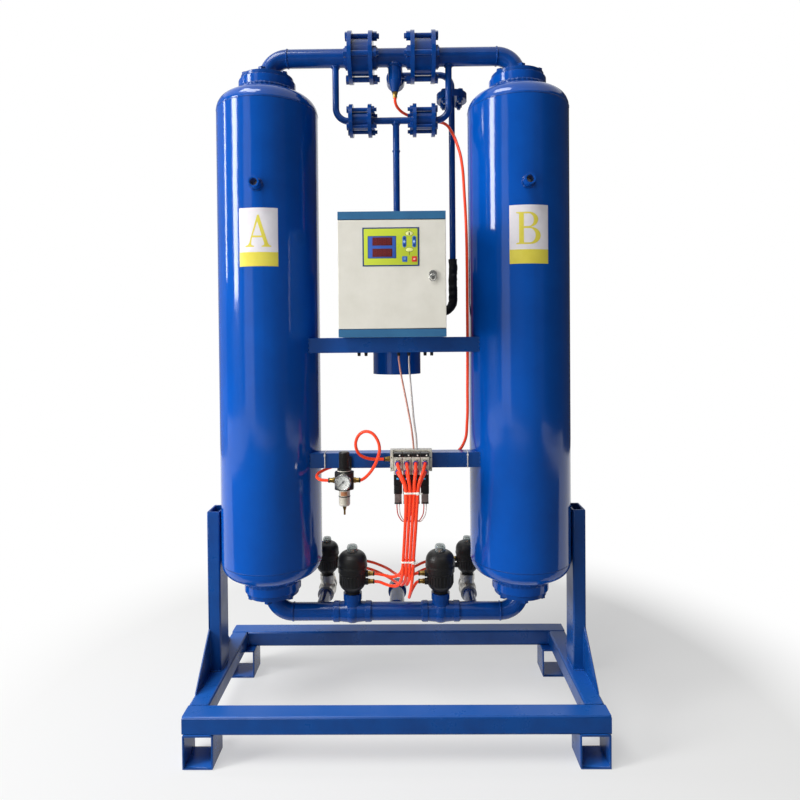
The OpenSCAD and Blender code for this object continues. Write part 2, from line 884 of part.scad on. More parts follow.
// Lower manifold
module exhaust_branch(r, extra) {
    translate([exhaust_x, 0, lower_z])
        rod_y(r, 0, exhaust_y - valve_half * exhaust_share + extra);
}

module lower_arm() {
    color(blue) difference() {
        union() {
            translate([mid_x, 0, bottom_face]) rotate([180, 0, 0]) cover_plate();
            arm_run(pipe_r, valve_out, -1);
            exhaust_branch(exhaust_d / 2, 0);
        }
        arm_bore(valve_out, -1);
        exhaust_branch(exhaust_d / 2 - pipe_t, cut);
    }
}

module lower_pipe_a() {
    mirror([1, 0, 0]) lower_arm();
}

module lower_pipe_b() {
    lower_arm();
}

module inlet_tee() {
    color(blue) translate([0, 0, lower_z]) difference() {
        union() {
            rod_x(pipe_r, -valve_in, valve_in);
            back_port();
        }
        rod_x(pipe_in_r, -valve_in - cut, valve_in + cut);
        back_port_bore();
    }
}

// Globe valve body along X, with the seat under its upright neck
module valve_body() {
    difference() {
        union() {
            rod_x(pipe_r, -valve_half, valve_half);
            for (s = [-1, 1]) translate([s * (valve_half - socket_l / 2), 0, 0])
                rod_x(socket_d / 2, -socket_l / 2, socket_l / 2);
            sphere(r = bulge_r);
            for (s = [-90, 90]) rotate([0, s, 0])
                cylinder(r1 = bulge_r - 1.5, r2 = socket_d / 2 - 2, h = valve_half - socket_l + 1);
            cylinder(r = collar_d / 2 - 2, h = neck_z);
            translate([0, 0, neck_z]) cylinder(d = collar_d, h = collar_z - neck_z);
        }
        rod_x(pipe_in_r - 5, -valve_half - cut, -24);
        rod_x(pipe_in_r - 5, 16, valve_half + cut);
        translate([0, 0, -13]) rod_x(8, -34, 8);
        translate([0, 0, -13]) cylinder(r = seat_r, h = seat_z + 13 + cut);
        translate([0, 0, seat_z]) cylinder(r = chamber_r, h = collar_z - seat_z + cut);
    }
}

// Side of the housing from its neck up to the lid joint
module actuator_profile() {
    waist_r = act_r - 5.5;
    band_z = act_joint - 16;
    polygon([[0, collar_z], [act_neck_r, collar_z], [act_neck_r, collar_z + 4], [waist_r - 3, collar_z + 17],
        [waist_r, collar_z + 23], [waist_r + 0.5, band_z - 3], [act_r - 1, band_z], [act_r - 0.5, act_joint],
        [0, act_joint]]);
}

module actuator_housing() {
    difference() {
        union() {
            rotate_extrude() actuator_profile();
            for (z = act_port_z) translate([0, 0, z]) rod_x(act_port_r + 4, 0, act_face);
        }
        translate([0, 0, piston_z - 6]) cylinder(r = cylinder_r, h = act_joint);
        translate([0, 0, collar_z - cut]) cylinder(r = stem_r + run_gap, h = piston_z);
        for (z = act_port_z) translate([0, 0, z]) rod_x(act_port_r + fit_gap, act_r - 10, act_face + cut);
    }
}

module actuator_lid() {
    dome = act_top - act_joint;
    difference() {
        rotate_extrude() polygon(concat([[0, act_joint], [act_r, act_joint]],
            [for (i = [0 : 8]) let (a = 90 * i / 8)
                [cap_r + 1 + (act_r - cap_r - 1) * cos(a), act_joint + 12 + (dome - 12) * sin(a)]],
            [[0, act_top]]));
        translate([0, 0, act_joint - cut]) cylinder(r = cylinder_r, h = 14 + cut);
        translate([0, 0, act_joint]) cylinder(r = stem_r + run_gap, h = dome + cut);
        translate([0, 0, act_top - 4]) cylinder(r = cap_r + fit_gap, h = 5);
    }
}

// Clear dome over the indicator, seated in the lid
module indicator_cap() {
    wall = 1.5;
    side = cap_h - 5;
    translate([0, 0, act_top - 4]) rotate_extrude() difference() {
        union() {
            square([cap_r, side]);
            translate([0, side]) intersection() {
                circle(r = cap_r);
                square([cap_r, 9]);
            }
        }
        translate([-cut, -cut]) square([cap_r - wall + cut, side + cut]);
        translate([-cut, -cut]) square([stem_r + 4 + cut, side + 6.5 + cut]);
    }
}

// Stem with plug, piston and coloured indicator, shut at rest
module valve_stem() {
    translate([0, 0, seat_z + fit_gap]) cylinder(r = chamber_r - 4, h = plug_t);
    translate([0, 0, seat_z + plug_t]) cylinder(r = stem_r, h = act_top + 2 - seat_z - plug_t);
    translate([0, 0, piston_z]) cylinder(r = cylinder_r - fit_gap, h = piston_t);
}

module main_place() {
    translate([valve_x, 0, lower_z]) children();
}

module exhaust_place() {
    translate([exhaust_x, exhaust_y, lower_z]) scale(exhaust_share) children();
}

module main_valve_bodies() {
    color(blue) mirrored_x() main_place() valve_body();
}

module exhaust_valve_bodies() {
    color(zinc) mirrored_x() exhaust_place() rotate([0, 0, 90]) valve_body();
}

// Ports of every actuator face the middle of the machine
module each_actuator() {
    mirrored_x() {
        main_place() mirror([1, 0, 0]) children();
        exhaust_place() mirror([1, 0, 0]) children();
    }
}

module actuator_housings() {
    color(black) each_actuator() actuator_housing();
}

module actuator_lids() {
    color(black) each_actuator() actuator_lid();
}

module indicator_caps() {
    color("#dfe6e8", 0.5) each_actuator() indicator_cap();
}

module main_stem() {
    color(orange) main_place() valve_stem();
}

module exhaust_stem() {
    color(orange) exhaust_place() valve_stem();
}

module main_stem_a() {
    mirror([1, 0, 0]) main_stem();
}

module main_stem_b() {
    main_stem();
}

module exhaust_stem_a() {
    mirror([1, 0, 0]) exhaust_stem();
}

module exhaust_stem_b() {
    exhaust_stem();
}

// Sintered silencers on the open ends of the exhaust valves
module exhaust_silencers() {
    hex_l = 8;
    color(brass) mirrored_x() translate([exhaust_x, exhaust_end, lower_z]) difference() {
        union() {
            rotate([-90, 0, 0]) cylinder(r = 22, h = hex_l, $fn = 6);
            rod_y(16, hex_l, silencer_l - 6);
            translate([0, silencer_l - 6, 0]) rotate([-90, 0, 0]) cylinder(r1 = 16, r2 = 10, h = 6);
        }
        rod_y(9, -cut, silencer_l - 10);
    }
}

// Control case
module hinge_rod(r, z0, z1) {
    translate([hinge_x, hinge_y, z0]) cylinder(r = r, h = z1 - z0);
}

module control_case() {
    half = case_w / 2;
    opening = case_h - 2 * strip_h;
    color("#34688f") {
        difference() {
            translate([-half, case_front, case_z]) cube([case_w, case_d, case_h]);
            translate([-half + case_t, case_front + case_t, case_z + case_t])
                cube([case_w - 2 * case_t, case_d - 2 * case_t, case_h - 2 * case_t]);
            translate([-half - cut, case_front - cut, case_z + strip_h])
                cube([case_w + 2 * cut, door_t + seal_t + cut, opening]);
            for (x = gland_spots) translate([x, gland_y, case_z - cut])
                cylinder(r = gland_r + fit_gap, h = case_t + 2 * cut);
        }
        for (z = [case_z + strip_h - case_t, case_top - strip_h])
            translate([-half, case_front, z]) cube([case_w, door_t + lip_w, case_t]);
        for (x = [-half, half - lip_w])
            translate([x, lip_y, case_z + strip_h]) cube([lip_w, case_t, opening]);
        hinge_rod(hinge_pin_r, door_z - door_gap - case_t / 2, door_z + hinge_pin_l);
        hinge_rod(hinge_pin_r, door_z + door_h - hinge_pin_l, door_z + door_h + door_gap + case_t / 2);
    }
}

module control_door() {
    half = case_w / 2;
    color("#dcd9cf") difference() {
        translate([-half, case_front, door_z]) cube([case_w, door_t, door_h]);
        translate([-half + case_t, case_front + case_t, door_z + case_t])
            cube([case_w - 2 * case_t, door_t, door_h - 2 * case_t]);
        hinge_rod(hinge_pin_r + run_gap, door_z - cut, door_z + door_h + cut);
        translate([lock_x, 0, case_z + lock_z])
            rod_y(lock_barrel_r + run_gap, case_front - cut, case_front + case_t + cut);
        translate([panel_x - panel_w / 2 + 22, case_front - cut, panel_z + 20])
            cube([panel_w - 60, case_t + 2 * cut, panel_h - 40]);
    }
}

module membrane_panel() {
    color("#c3d33f") translate([panel_x - panel_w / 2, case_front - panel_t, panel_z])
        cube([panel_w, panel_t, panel_h]);
}

// Key lock with a cam blade that hangs down when open
module door_lock() {
    cam_y = lip_y + case_t + 1.5;
    color(zinc) translate([lock_x, 0, case_z + lock_z]) {
        difference() {
            rod_y(lock_r, case_front - 4, case_front - fit_gap);
            translate([-1, case_front - 4 - cut, -5]) cube([2, 2.5 + cut, 10]);
        }
        rod_y(lock_barrel_r, case_front - 1, cam_y);
        translate([-6, cam_y, -cam_l + 6]) cube([12, 2.5, cam_l]);
    }
}

// Display unit behind the door, under the panel
module controller() {
    depth = 34;
    color("#22252a") {
        translate([panel_x - panel_w / 2 + 6, case_front + case_t, panel_z + 6])
            cube([panel_w - 12, depth, panel_h - 12]);
        translate([panel_x - panel_w / 2 + 14, case_front + case_t + depth, panel_z + 10])
            cube([panel_w - 28, 10, 9]);
    }
}

// Contactor and terminals on the back of the case
module power_relay() {
    back = -case_back - case_t;
    rail_l = 0.7 * case_w;
    rail_z = case_z + 0.3 * case_h;
    rail_t = 4;
    relay_d = 0.37 * case_d;
    relay_h = 0.28 * case_h;
    block_d = 0.23 * case_d;
    block_h = 0.17 * case_h;
    block_pitch = 0.04 * case_w;
    color("#3a3d40") {
        translate([-rail_l / 2, back - rail_t, rail_z]) cube([rail_l, rail_t, 35]);
        translate([-rail_l / 2 + 12, back - rail_t - relay_d, rail_z - 24])
            cube([45, relay_d + cut, relay_h]);
        translate([-rail_l / 2 + 18, back - rail_t - relay_d - 8, rail_z - 8]) cube([33, 9, block_h]);
        for (i = [0 : 8]) translate([-20 + i * block_pitch, back - rail_t - block_d, rail_z - 8])
            cube([block_pitch - 1, block_d + cut, block_h]);
    }
}

module cable_glands() {
    color(black) for (x = gland_spots) translate([x, gland_y, case_z]) difference() {
        union() {
            translate([0, 0, case_t]) cylinder(r = gland_hex_r, h = 5, $fn = 6);
            translate([0, 0, -8]) cylinder(r = gland_r, h = case_t + 12);
            translate([0, 0, -12]) cylinder(r = gland_hex_r, h = 12, $fn = 6);
            translate([0, 0, -24]) cylinder(r = gland_r + 1, h = 12.5);
            translate([0, 0, -gland_l]) cylinder(r1 = cable_d / 2 + 1.5, r2 = gland_r + 1, h = gland_l - 24);
        }
        translate([0, 0, -gland_l - cut]) cylinder(r = cable_d / 2 + fit_gap, h = gland_l + case_t + 6);
    }
}

// Filter regulator
module at_regulator() {
    translate([reg_x, -reg_y, 0]) children();
}

module regulator_body() {
    color(black) at_regulator() {
        difference() {
            translate([0, 0, reg_low]) rotate([0, 0, 22.5])
                cylinder(d = reg_w / cos(22.5), h = 2 * reg_half_h, $fn = 8);
            translate([0, 0, reg_low - cut]) cylinder(r = bowl_d / 2 - 3, h = 14);
            translate([0, 0, reg_z]) rod_x(5 + fit_gap, -reg_w, -reg_w / 2 + 12);
            translate([0, 0, reg_z]) rod_x(5 + fit_gap, reg_w / 2 - 12, reg_w);
            translate([0, 0, gauge_z]) rod_y(4 + fit_gap, -reg_w, -reg_w / 2 + 10);
        }
        translate([0, 0, reg_top]) cylinder(r = 18, h = 9.5);
        translate([0, 0, reg_top + 9]) cylinder(r = 7, h = 20);
        translate([-15, 0, reg_top - 2]) cube([30, reg_y - bar_y, 3]);
        translate([-15, reg_y - bar_y - 3, reg_top - 2]) cube([30, 3, 34]);
    }
}

module regulator_knob() {
    ribs = 24;
    color("#242424") at_regulator() translate([0, 0, knob_z]) difference() {
        union() {
            cylinder(d = knob_d, h = knob_h - 3);
            translate([0, 0, knob_h - 3]) cylinder(r1 = knob_d / 2, r2 = knob_d / 2 - 3, h = 3);
        }
        translate([0, 0, -cut]) cylinder(r = 7 + run_gap, h = 20.5);
        for (i = [0 : ribs - 1]) rotate([0, 0, i * 360 / ribs])
            translate([knob_d / 2 + 0.4, 0, 3]) cylinder(r = 1, h = knob_h - 10);
    }
}

// Gauge case with a recessed dial and the pin of the needle
module pressure_gauge() {
    rim = 2.5;
    dial = 6;
    front = reg_front - gauge_t;
    color("#d8d8d6") translate([reg_x, 0, gauge_z]) {
        difference() {
            rod_y(gauge_r, front, reg_front - 3);
            rod_y(gauge_r - rim, front - cut, front + dial);
        }
        rod_y(4, reg_front - 4, reg_front + 9);
        rod_y(1, front + dial - 4, front + dial + 0.5);
    }
}

module gauge_needle() {
    dial = reg_front - gauge_t + 6;
    color("#16181a") translate([reg_x, 0, gauge_z]) difference() {
        union() {
            rod_y(2.4, dial - 3, dial - 1);
            rotate([0, 45, 0]) translate([-0.7, dial - 2.6, -gauge_r + 5]) cube([1.4, 1, gauge_r + 1]);
        }
        rod_y(1 + run_gap, dial - 5, dial);
    }
}

module filter_bowl() {
    color("#c8c6bd") at_regulator() {
        translate([0, 0, reg_low - bowl_l]) difference() {
            union() {
                cylinder(d1 = bowl_d - 4, d2 = bowl_d, h = 4);
                translate([0, 0, 4]) cylinder(d = bowl_d, h = bowl_l - 4);
                cylinder(d = bowl_d - 6 - 2 * fit_gap, h = bowl_l + 10);
            }
            translate([0, 0, 3]) cylinder(d = bowl_d - 10, h = bowl_l + 10);
            translate([0, 0, -cut]) cylinder(r = 3 + fit_gap, h = 6);
        }
    }
}

// Solenoid valve bank
module sol_places() {
    for (i = [0 : 3]) translate([bank_x + (i - 1.5) * sol_pitch, 0, 0]) children();
}

module solenoid_manifold() {
    end_t = 7;
    end_x = (bank_w - end_t) / 2;
    color(alloy) difference() {
        union() {
            translate([bank_x - bank_w / 2, bank_front, bank_z - bank_h]) cube([bank_w, bank_d, bank_h]);
            for (s = [-1, 1]) translate([bank_x + s * end_x - end_t / 2, bank_front - 6, bank_z - bank_h])
                cube([end_t, bank_d, bank_h]);
        }
        for (s = [-1, 1], z = [8, bank_h - 20]) translate([bank_x + s * end_x, 0, bank_z - bank_h + z])
            rod_y(1.8, bank_front - 7, bank_back + cut);
        translate([0, bank_front + bank_d / 2, fit_rows[0]])
            rod_x(act_port_r + fit_gap, bank_x - bank_w / 2 - cut, bank_x - bank_w / 2 + 12);
    }
}

module solenoid_valves() {
    body_h = bank_z - sol_cap_h - sol_low;
    color(alloy) sol_places() difference() {
        union() {
            translate([-sol_w / 2, sol_front, sol_low]) cube([sol_w, sol_d - fit_gap, body_h]);
            translate([-sol_w / 2 + 0.5, sol_front + 4, bank_z - sol_cap_h])
                cube([sol_w - 1, sol_d - 4 - fit_gap, sol_cap_h - 4]);
        }
        for (z = fit_rows) translate([0, 0, z]) rod_y(act_port_r + fit_gap, sol_front - cut, sol_front + 8);
    }
}

module solenoid_coils() {
    color(black) sol_places() translate([0, sol_front, 0]) {
        translate([-sol_w / 2 + 0.7, 1, sol_low - 26]) cube([sol_w - 1.4, sol_d - 6, 26]);
        translate([-sol_w / 2 + 2, 2.5, sol_low - coil_h + 8]) cube([sol_w - 4, sol_d - 9, coil_h - 34]);
        translate([0, sol_d / 2 - 2, sol_low - coil_h]) cylinder(r = 5, h = 8);
    }
}

module push_fitting() {
    rotate([90, 0, 0]) difference() {
        union() {
            translate([0, 0, -7]) cylinder(r = 5, h = 8);
            cylinder(r = 8, h = 6, $fn = 6);
            translate([0, 0, 6]) cylinder(r = 6.5, h = 10);
            translate([0, 0, 16]) cylinder(r = 5.6, h = 4);
        }
        translate([0, 0, 8]) cylinder(d = tube_d + 2 * fit_gap, h = fit_l);
    }
}

module push_fittings() {
    color("#2a2c6a") sol_places() for (z = fit_rows) translate([0, sol_front, z]) push_fitting();
}

// Straight brass tube fitting along Z from its seat, threaded end below
module brass_fitting(thread, body, thread_r) {
    difference() {
        union() {
            translate([0, 0, -thread]) cylinder(r = thread_r, h = thread + 1);
            cylinder(r = 7.5, h = 6, $fn = 6);
            translate([0, 0, 6]) cylinder(r = 6, h = body - 6);
        }
        translate([0, 0, body - 6]) cylinder(d = tube_d + 2 * fit_gap, h = 7);
    }
}

module brass_fittings() {
    color(brass) {
        translate([tap_x, 0, upper_z - pipe_r - tap_l]) rotate([180, 0, 0]) difference() {
            brass_fitting(0, 16, act_port_r);
            translate([0, 0, -cut]) cylinder(r = 3, h = 20);
        }
        translate([reg_x - reg_w / 2, -reg_y, reg_z]) rotate([0, -90, 0]) brass_fitting(10, 14, act_port_r);
        translate([reg_x + reg_w / 2, -reg_y, reg_z]) rotate([0, 90, 0]) brass_fitting(10, 14, act_port_r);
        translate([reg_x, -reg_y, reg_low - bowl_l]) {
            cylinder(r = 3, h = 4);
            translate([0, 0, -12]) cylinder(r1 = 3, r2 = 6, h = 12);
            translate([0, 0, -24]) cylinder(r = 2.6, h = 12);
        }
        translate([bank_x - bank_w / 2, bank_front + bank_d / 2, fit_rows[0]])
            rotate([0, -90, 0]) brass_fitting(10, 14, act_port_r);
        for (z = act_port_z) mirrored_x() {
            main_place() translate([-act_face, 0, z])
                rotate([0, -90, 0]) brass_fitting(10, act_port_l, act_port_r);
            translate([exhaust_x, exhaust_y, lower_z]) translate(exhaust_share * [-act_face, 0, z])
                rotate([0, -90, 0]) brass_fitting(8, act_port_l, exhaust_share * act_port_r);
        }
    }
}

// Air tubes and cables: each route is a list of places that the tube passes
supply_route = [[8, 0, 1697], [9, 3, 1682], [18, 16, 1670], [44, 42, 1662], [80, 56, 1655],
    [116, 58, 1650], [146, 50, 1641], [164, 30, 1612], [180, 4, 1560], [188, -8, 1520], [195, -16, 1420],
    [199, -19, 1320], [200, -20, 1220], [200, -20, 1120], [200, -20, 1020], [199, -20, 900],
    [197, -20, 800], [190, -22, 752], [168, -24, 722], [120, -30, 708], [60, -34, 700],
    [0, -36, 700], [-60, -38, 700], [-120, -40, 698], [-166, -48, 690], [-192, -66, 683],
    [-204, -88, 676], [-196, -107, 670], [-178, -112, 668], [-164, -112, 668]];
loop_route = [[-96, -112, 668], [-88, -112, 668], [-78, -117, 674], [-63, -126, 690], [-49, -134, 713],
    [-38, -139, 744], [-40, -139, 770], [-54, -135, 791], [-74, -127, 796], [-92, -119, 784],
    [-100, -112, 760], [-92, -103, 734], [-70, -92, 720], [-46, -83, 716], [-22, -81, 716]];
control_routes = [
    [[8.5, -139, 716], [9, -154, 715], [14, -172, 702], [25, -178, 676], [30, -174, 644], [26, -153, 560],
        [20, -120, 458], [17, -105, 414], [4, -72, 377], [-24, -27, 360], [-46, -5, 359], [-67.5, 0, 359]],
    [[8.5, -139, 694], [10, -151, 692.5], [19, -163, 680], [28, -165.5, 650], [26, -143, 560],
        [20, -110, 458], [14, -90, 420], [-6, -56, 394], [-32, -18, 383], [-50, -4, 381], [-67.5, 0, 381]],
    [[31.5, -139, 716], [32, -154, 715], [34, -172, 702], [37, -178, 676], [39.5, -174, 644],
        [35, -153, 560], [28.8, -120, 458], [25.5, -98, 405], [12, -40, 366], [-20, 40, 352], [-70, 110, 347],
        [-125, 146, 346.5], [-164, 150, 346.5]],
    [[31.5, -139, 694], [32, -151, 692.5], [35, -163, 680], [38.5, -165.5, 650], [35, -143, 560],
        [28.8, -110, 458], [24, -78, 415], [8, -20, 382], [-26, 60, 371], [-74, 122, 366], [-126, 148, 365],
        [-164, 150, 365]],
    [[54.5, -139, 716], [54, -154, 715], [53, -172, 702], [50, -178, 676], [49, -174, 644], [44, -153, 560],
        [37.6, -120, 458], [35.5, -98, 405], [28, -40, 366], [36, 40, 352], [78, 112, 347],
        [126, 146, 346.5], [164, 150, 346.5]],
    [[54.5, -139, 694], [54, -151, 692.5], [51, -163, 680], [48.5, -165.5, 650], [44, -143, 560],
        [37.6, -110, 458], [35, -78, 415], [31, -20, 382], [44, 60, 371], [84, 124, 366], [128, 148, 365],
        [164, 150, 365]],
    [[77.5, -139, 716], [77, -154, 715], [72, -172, 702], [62, -178, 676], [58, -174, 644], [53, -153, 560],
        [46.4, -120, 458], [45, -104, 400], [44, -84, 352], [42, -62, 326], [41, -40, 322], [41, -21, 331],
        [45, -8, 346], [54, -1, 356], [67.5, 0, 359]],
    [[77.5, -139, 694], [76, -151, 692.5], [68, -163, 680], [59, -165.5, 650], [53, -143, 560],
        [46.4, -110, 458], [46, -84, 418], [43, -48, 396], [44, -18, 384], [52, -4, 381.5], [67.5, 0, 381]]];
cable_routes = [
    [[12, -22, 986], [13, -24, 970], [18, -34, 936], [26, -54, 896], [35, -70, 850],
        [44, -80, 800], [48, -82, 768], [50, -81, 743]],
    [[40, -22, 986], [40, -25, 970], [42, -40, 930], [46, -58, 880], [51, -73, 820],
        [57, -81, 772], [58, -81, 743]]];

function unit(v) = v / norm(v);
function clamped(p, i) = p[min(max(i, 0), len(p) - 1)];
// Point at share t of the smooth span that starts at place i
function span_point(p, i, t) =
    let (a = clamped(p, i - 1), b = p[i], c = clamped(p, i + 1), d = clamped(p, i + 2))
    0.5 * (2 * b + (c - a) * t + (2 * a - 5 * b + 4 * c - d) * t * t + (3 * b - a - 3 * c + d) * t * t * t);
function smoothed(p, steps) = concat(
    [for (i = [0 : len(p) - 2], k = [0 : steps - 1]) span_point(p, i, k / steps)], [p[len(p) - 1]]);
function headings(p) = [for (i = [0 : len(p) - 1]) unit(clamped(p, i + 1) - clamped(p, i - 1))];
function squared(n, t) = unit(n - (n * t) * t);
function side_of(t) = unit(cross(t, abs(t[2]) < 0.9 ? [0, 0, 1] : [1, 0, 0]));
function sides_along(t) = [for (i = 0, n = side_of(t[0]); i < len(t);
    i = i + 1, n = i < len(t) ? squared(n, t[i]) : n) n];

// Round tube of eight sides swept along a route
module swept(p, d) {
    sides = 8;
    t = headings(p);
    n = sides_along(t);
    last = len(p) - 1;
    points = [for (i = [0 : last], k = [0 : sides - 1]) let (a = k * 360 / sides)
        p[i] + d / 2 * (cos(a) * n[i] + sin(a) * cross(t[i], n[i]))];
    walls = [for (i = [0 : last - 1], k = [0 : sides - 1]) let (q = (k + 1) % sides)
        [i * sides + k, (i + 1) * sides + k, (i + 1) * sides + q, i * sides + q]];
    polyhedron(points, concat([[for (k = [0 : sides - 1]) k]], walls,
        [[for (k = [sides - 1 : -1 : 0]) last * sides + k]]));
}

module supply_tube() {
    color(orange) swept(smoothed(supply_route, 2), tube_d);
}

module loop_tube() {
    color(orange) swept(smoothed(loop_route, 2), tube_d);
}

module control_tubes() {
    color(orange) for (p = control_routes) swept(smoothed(p, 2), tube_d);
}

module signal_cables() {
    color("#d8d4cf") for (p = cable_routes) swept(smoothed(p, 2), cable_d);
}

cross_rails();
side_rails();
skid_feet();
uprights();
shelf_bar();
instrument_bar();
tower_a();
tower_b();
bed_screens();
desiccant_beds();
cover_gaskets();
cover_bolts();
upper_pipe_a();
upper_pipe_b();
outlet_tee();
check_bodies();
check_disc_a();
check_disc_b();
flange_studs();
purge_tee();
purge_disc_a();
purge_disc_b();
purge_feed_pipe();
pipe_insulation();
heater_vessel();
heater_element();
lower_pipe_a();
lower_pipe_b();
inlet_tee();
main_valve_bodies();
exhaust_valve_bodies();
actuator_housings();
actuator_lids();
indicator_caps();
main_stem_a();
main_stem_b();
exhaust_stem_a();
exhaust_stem_b();
exhaust_silencers();
control_case();
control_door();
membrane_panel();
door_lock();
controller();
power_relay();
cable_glands();
regulator_body();
regulator_knob();
pressure_gauge();
gauge_needle();
filter_bowl();
solenoid_manifold();
solenoid_valves();
solenoid_coils();
push_fittings();
brass_fittings();
supply_tube();
loop_tube();
control_tubes();
signal_cables();
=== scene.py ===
# Twin tower desiccant air dryer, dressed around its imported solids.
# The frame is in metres, Z up, the front towards -Y. Sizes below are in millimetres and go through mm.
import random
from math import cos, pi, radians, sin

import bmesh
import bpy
from mathutils import Matrix, Vector, noise


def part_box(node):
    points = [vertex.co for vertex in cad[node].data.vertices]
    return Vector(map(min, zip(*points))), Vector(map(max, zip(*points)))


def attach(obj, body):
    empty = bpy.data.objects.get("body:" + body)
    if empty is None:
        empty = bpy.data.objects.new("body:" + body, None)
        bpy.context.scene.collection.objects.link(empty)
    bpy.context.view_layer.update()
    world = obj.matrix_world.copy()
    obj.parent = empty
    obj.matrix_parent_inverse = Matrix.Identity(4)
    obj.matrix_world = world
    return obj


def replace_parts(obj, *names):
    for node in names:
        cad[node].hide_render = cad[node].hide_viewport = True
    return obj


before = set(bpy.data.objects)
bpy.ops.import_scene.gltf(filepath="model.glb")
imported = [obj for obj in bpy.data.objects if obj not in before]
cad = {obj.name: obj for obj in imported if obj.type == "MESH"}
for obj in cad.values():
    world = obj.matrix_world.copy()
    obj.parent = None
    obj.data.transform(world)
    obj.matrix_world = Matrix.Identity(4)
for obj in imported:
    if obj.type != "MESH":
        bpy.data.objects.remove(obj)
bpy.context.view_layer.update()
scene = bpy.context.scene
scene.view_settings.view_transform = "Standard"
mm = 0.001
alongX, alongY, alongZ, facing = (1, 0, 0), (0, 1, 0), (0, 0, 1), (0, -1, 0)
dice = random.Random(11)
print("frame loaded with", len(cad), "nodes")

# Camera at the photograph's viewing angle
cameraSet = {
    "place": (31.3, -1623.7, 1026.2),
    "yaw": -0.0097,  # radians
    "pitch": -0.0134,
    "roll": -0.0088,
    "focalPixels": 587.5,
    "axisRow": 348.9,  # pixel row where the lens axis meets the picture
    "framePixels": 800,
    "sensor": 36.0,
}


def addCamera(s):
    yaw, pitch, roll = s["yaw"], s["pitch"], s["roll"]
    forward = Vector((sin(yaw) * cos(pitch), cos(yaw) * cos(pitch), sin(pitch)))
    right = Vector((cos(yaw), -sin(yaw), 0))
    up = right.cross(forward)
    turned = Matrix((
        cos(roll) * right + sin(roll) * up,
        cos(roll) * up - sin(roll) * right,
        -forward,
    )).transposed().to_4x4()
    turned.translation = Vector(s["place"]) * mm
    lens = bpy.data.cameras.new("photoCamera")
    lens.sensor_fit = "HORIZONTAL"
    lens.sensor_width = s["sensor"]
    lens.lens = s["sensor"] * s["focalPixels"] / s["framePixels"]
    lens.shift_y = (s["axisRow"] - s["framePixels"] / 2) / s["framePixels"]
    camera = bpy.data.objects.new("photoCamera", lens)
    camera.matrix_world = turned
    scene.collection.objects.link(camera)
    scene.camera = camera


addCamera(cameraSet)
print("camera set")

# Air tubes and cables: each route is the list of places that it passes, as in the solids, where only the
# low loop of the seventh control tube hangs lower
airTubes = {
    "diameter": 8.0,
    "supply": [(8, 0, 1697), (9, 3, 1682), (18, 16, 1670), (44, 42, 1662), (80, 56, 1655), (116, 58, 1650),
               (146, 50, 1641), (164, 30, 1612), (180, 4, 1560), (188, -8, 1520), (195, -16, 1420),
               (199, -19, 1320), (200, -20, 1220), (200, -20, 1120), (200, -20, 1020), (199, -20, 900),
               (197, -20, 800), (190, -22, 752), (168, -24, 722), (120, -30, 708), (60, -34, 700),
               (0, -36, 700), (-60, -38, 700), (-120, -40, 698), (-166, -48, 690), (-192, -66, 683),
               (-204, -88, 676), (-196, -107, 670), (-178, -112, 668), (-164, -112, 668)],
    "loop": [(-96, -112, 668), (-88, -112, 668), (-78, -117, 674), (-63, -126, 690), (-49, -134, 713),
             (-38, -139, 744), (-40, -139, 770), (-54, -135, 791), (-74, -127, 796), (-92, -119, 784),
             (-100, -112, 760), (-92, -103, 734), (-70, -92, 720), (-46, -83, 716), (-22, -81, 716)],
    # The two rows of fittings: y and z of the places that the four tubes of a row pass side by side
    "rows": ([(-139, 716), (-154, 715), (-172, 702), (-178, 676), (-174, 644), (-153, 560), (-120, 458)],
             [(-139, 694), (-151, 692.5), (-163, 680), (-165.5, 650), (-143, 560), (-110, 458)]),
    # Control tubes, from the upper and the lower row in turn: x at those places, and the places after them
    "control": [
        ((8.5, 9, 14, 25, 30, 26, 20),
         [(17, -105, 414), (4, -72, 377), (-24, -27, 360), (-46, -5, 359), (-67.5, 0, 359)]),
        ((8.5, 10, 19, 28, 26, 20),
         [(14, -90, 420), (-6, -56, 394), (-32, -18, 383), (-50, -4, 381), (-67.5, 0, 381)]),
        ((31.5, 32, 34, 37, 39.5, 35, 28.8), [(25.5, -98, 405), (12, -40, 366), (-20, 40, 352),
                                              (-70, 110, 347), (-125, 146, 346.5), (-164, 150, 346.5)]),
        ((31.5, 32, 35, 38.5, 35, 28.8), [(24, -78, 415), (8, -20, 382), (-26, 60, 371), (-74, 122, 366),
                                          (-126, 148, 365), (-164, 150, 365)]),
        ((54.5, 54, 53, 50, 49, 44, 37.6), [(35.5, -98, 405), (28, -40, 366), (36, 40, 352), (78, 112, 347),
                                            (126, 146, 346.5), (164, 150, 346.5)]),
        ((54.5, 54, 51, 48.5, 44, 37.6), [(35, -78, 415), (31, -20, 382), (44, 60, 371), (84, 124, 366),
                                          (128, 148, 365), (164, 150, 365)]),
        ((77.5, 77, 72, 62, 58, 53, 46.4), [(43, -102, 402), (38, -82, 363), (35, -60, 341), (36, -37, 333),
                                            (41, -18, 338), (49, -6, 348), (57, -1, 356.5), (67.5, 0, 359)]),
        ((77.5, 76, 68, 59, 53, 46.4),
         [(46, -84, 418), (43, -48, 396), (44, -18, 384), (52, -4, 381.5), (67.5, 0, 381)]),
    ],
}
signalCables = {
    "diameter": 5.0,
    "routes": [
        [(12, -22, 986), (13, -24, 970), (18, -34, 936), (26, -54, 896), (35, -70, 850), (44, -80, 800),
         (48, -82, 768), (50, -81, 743)],
        [(40, -22, 986), (40, -25, 970), (42, -40, 930), (46, -58, 880), (51, -73, 820), (57, -81, 772),
         (58, -81, 743)],
    ],
}
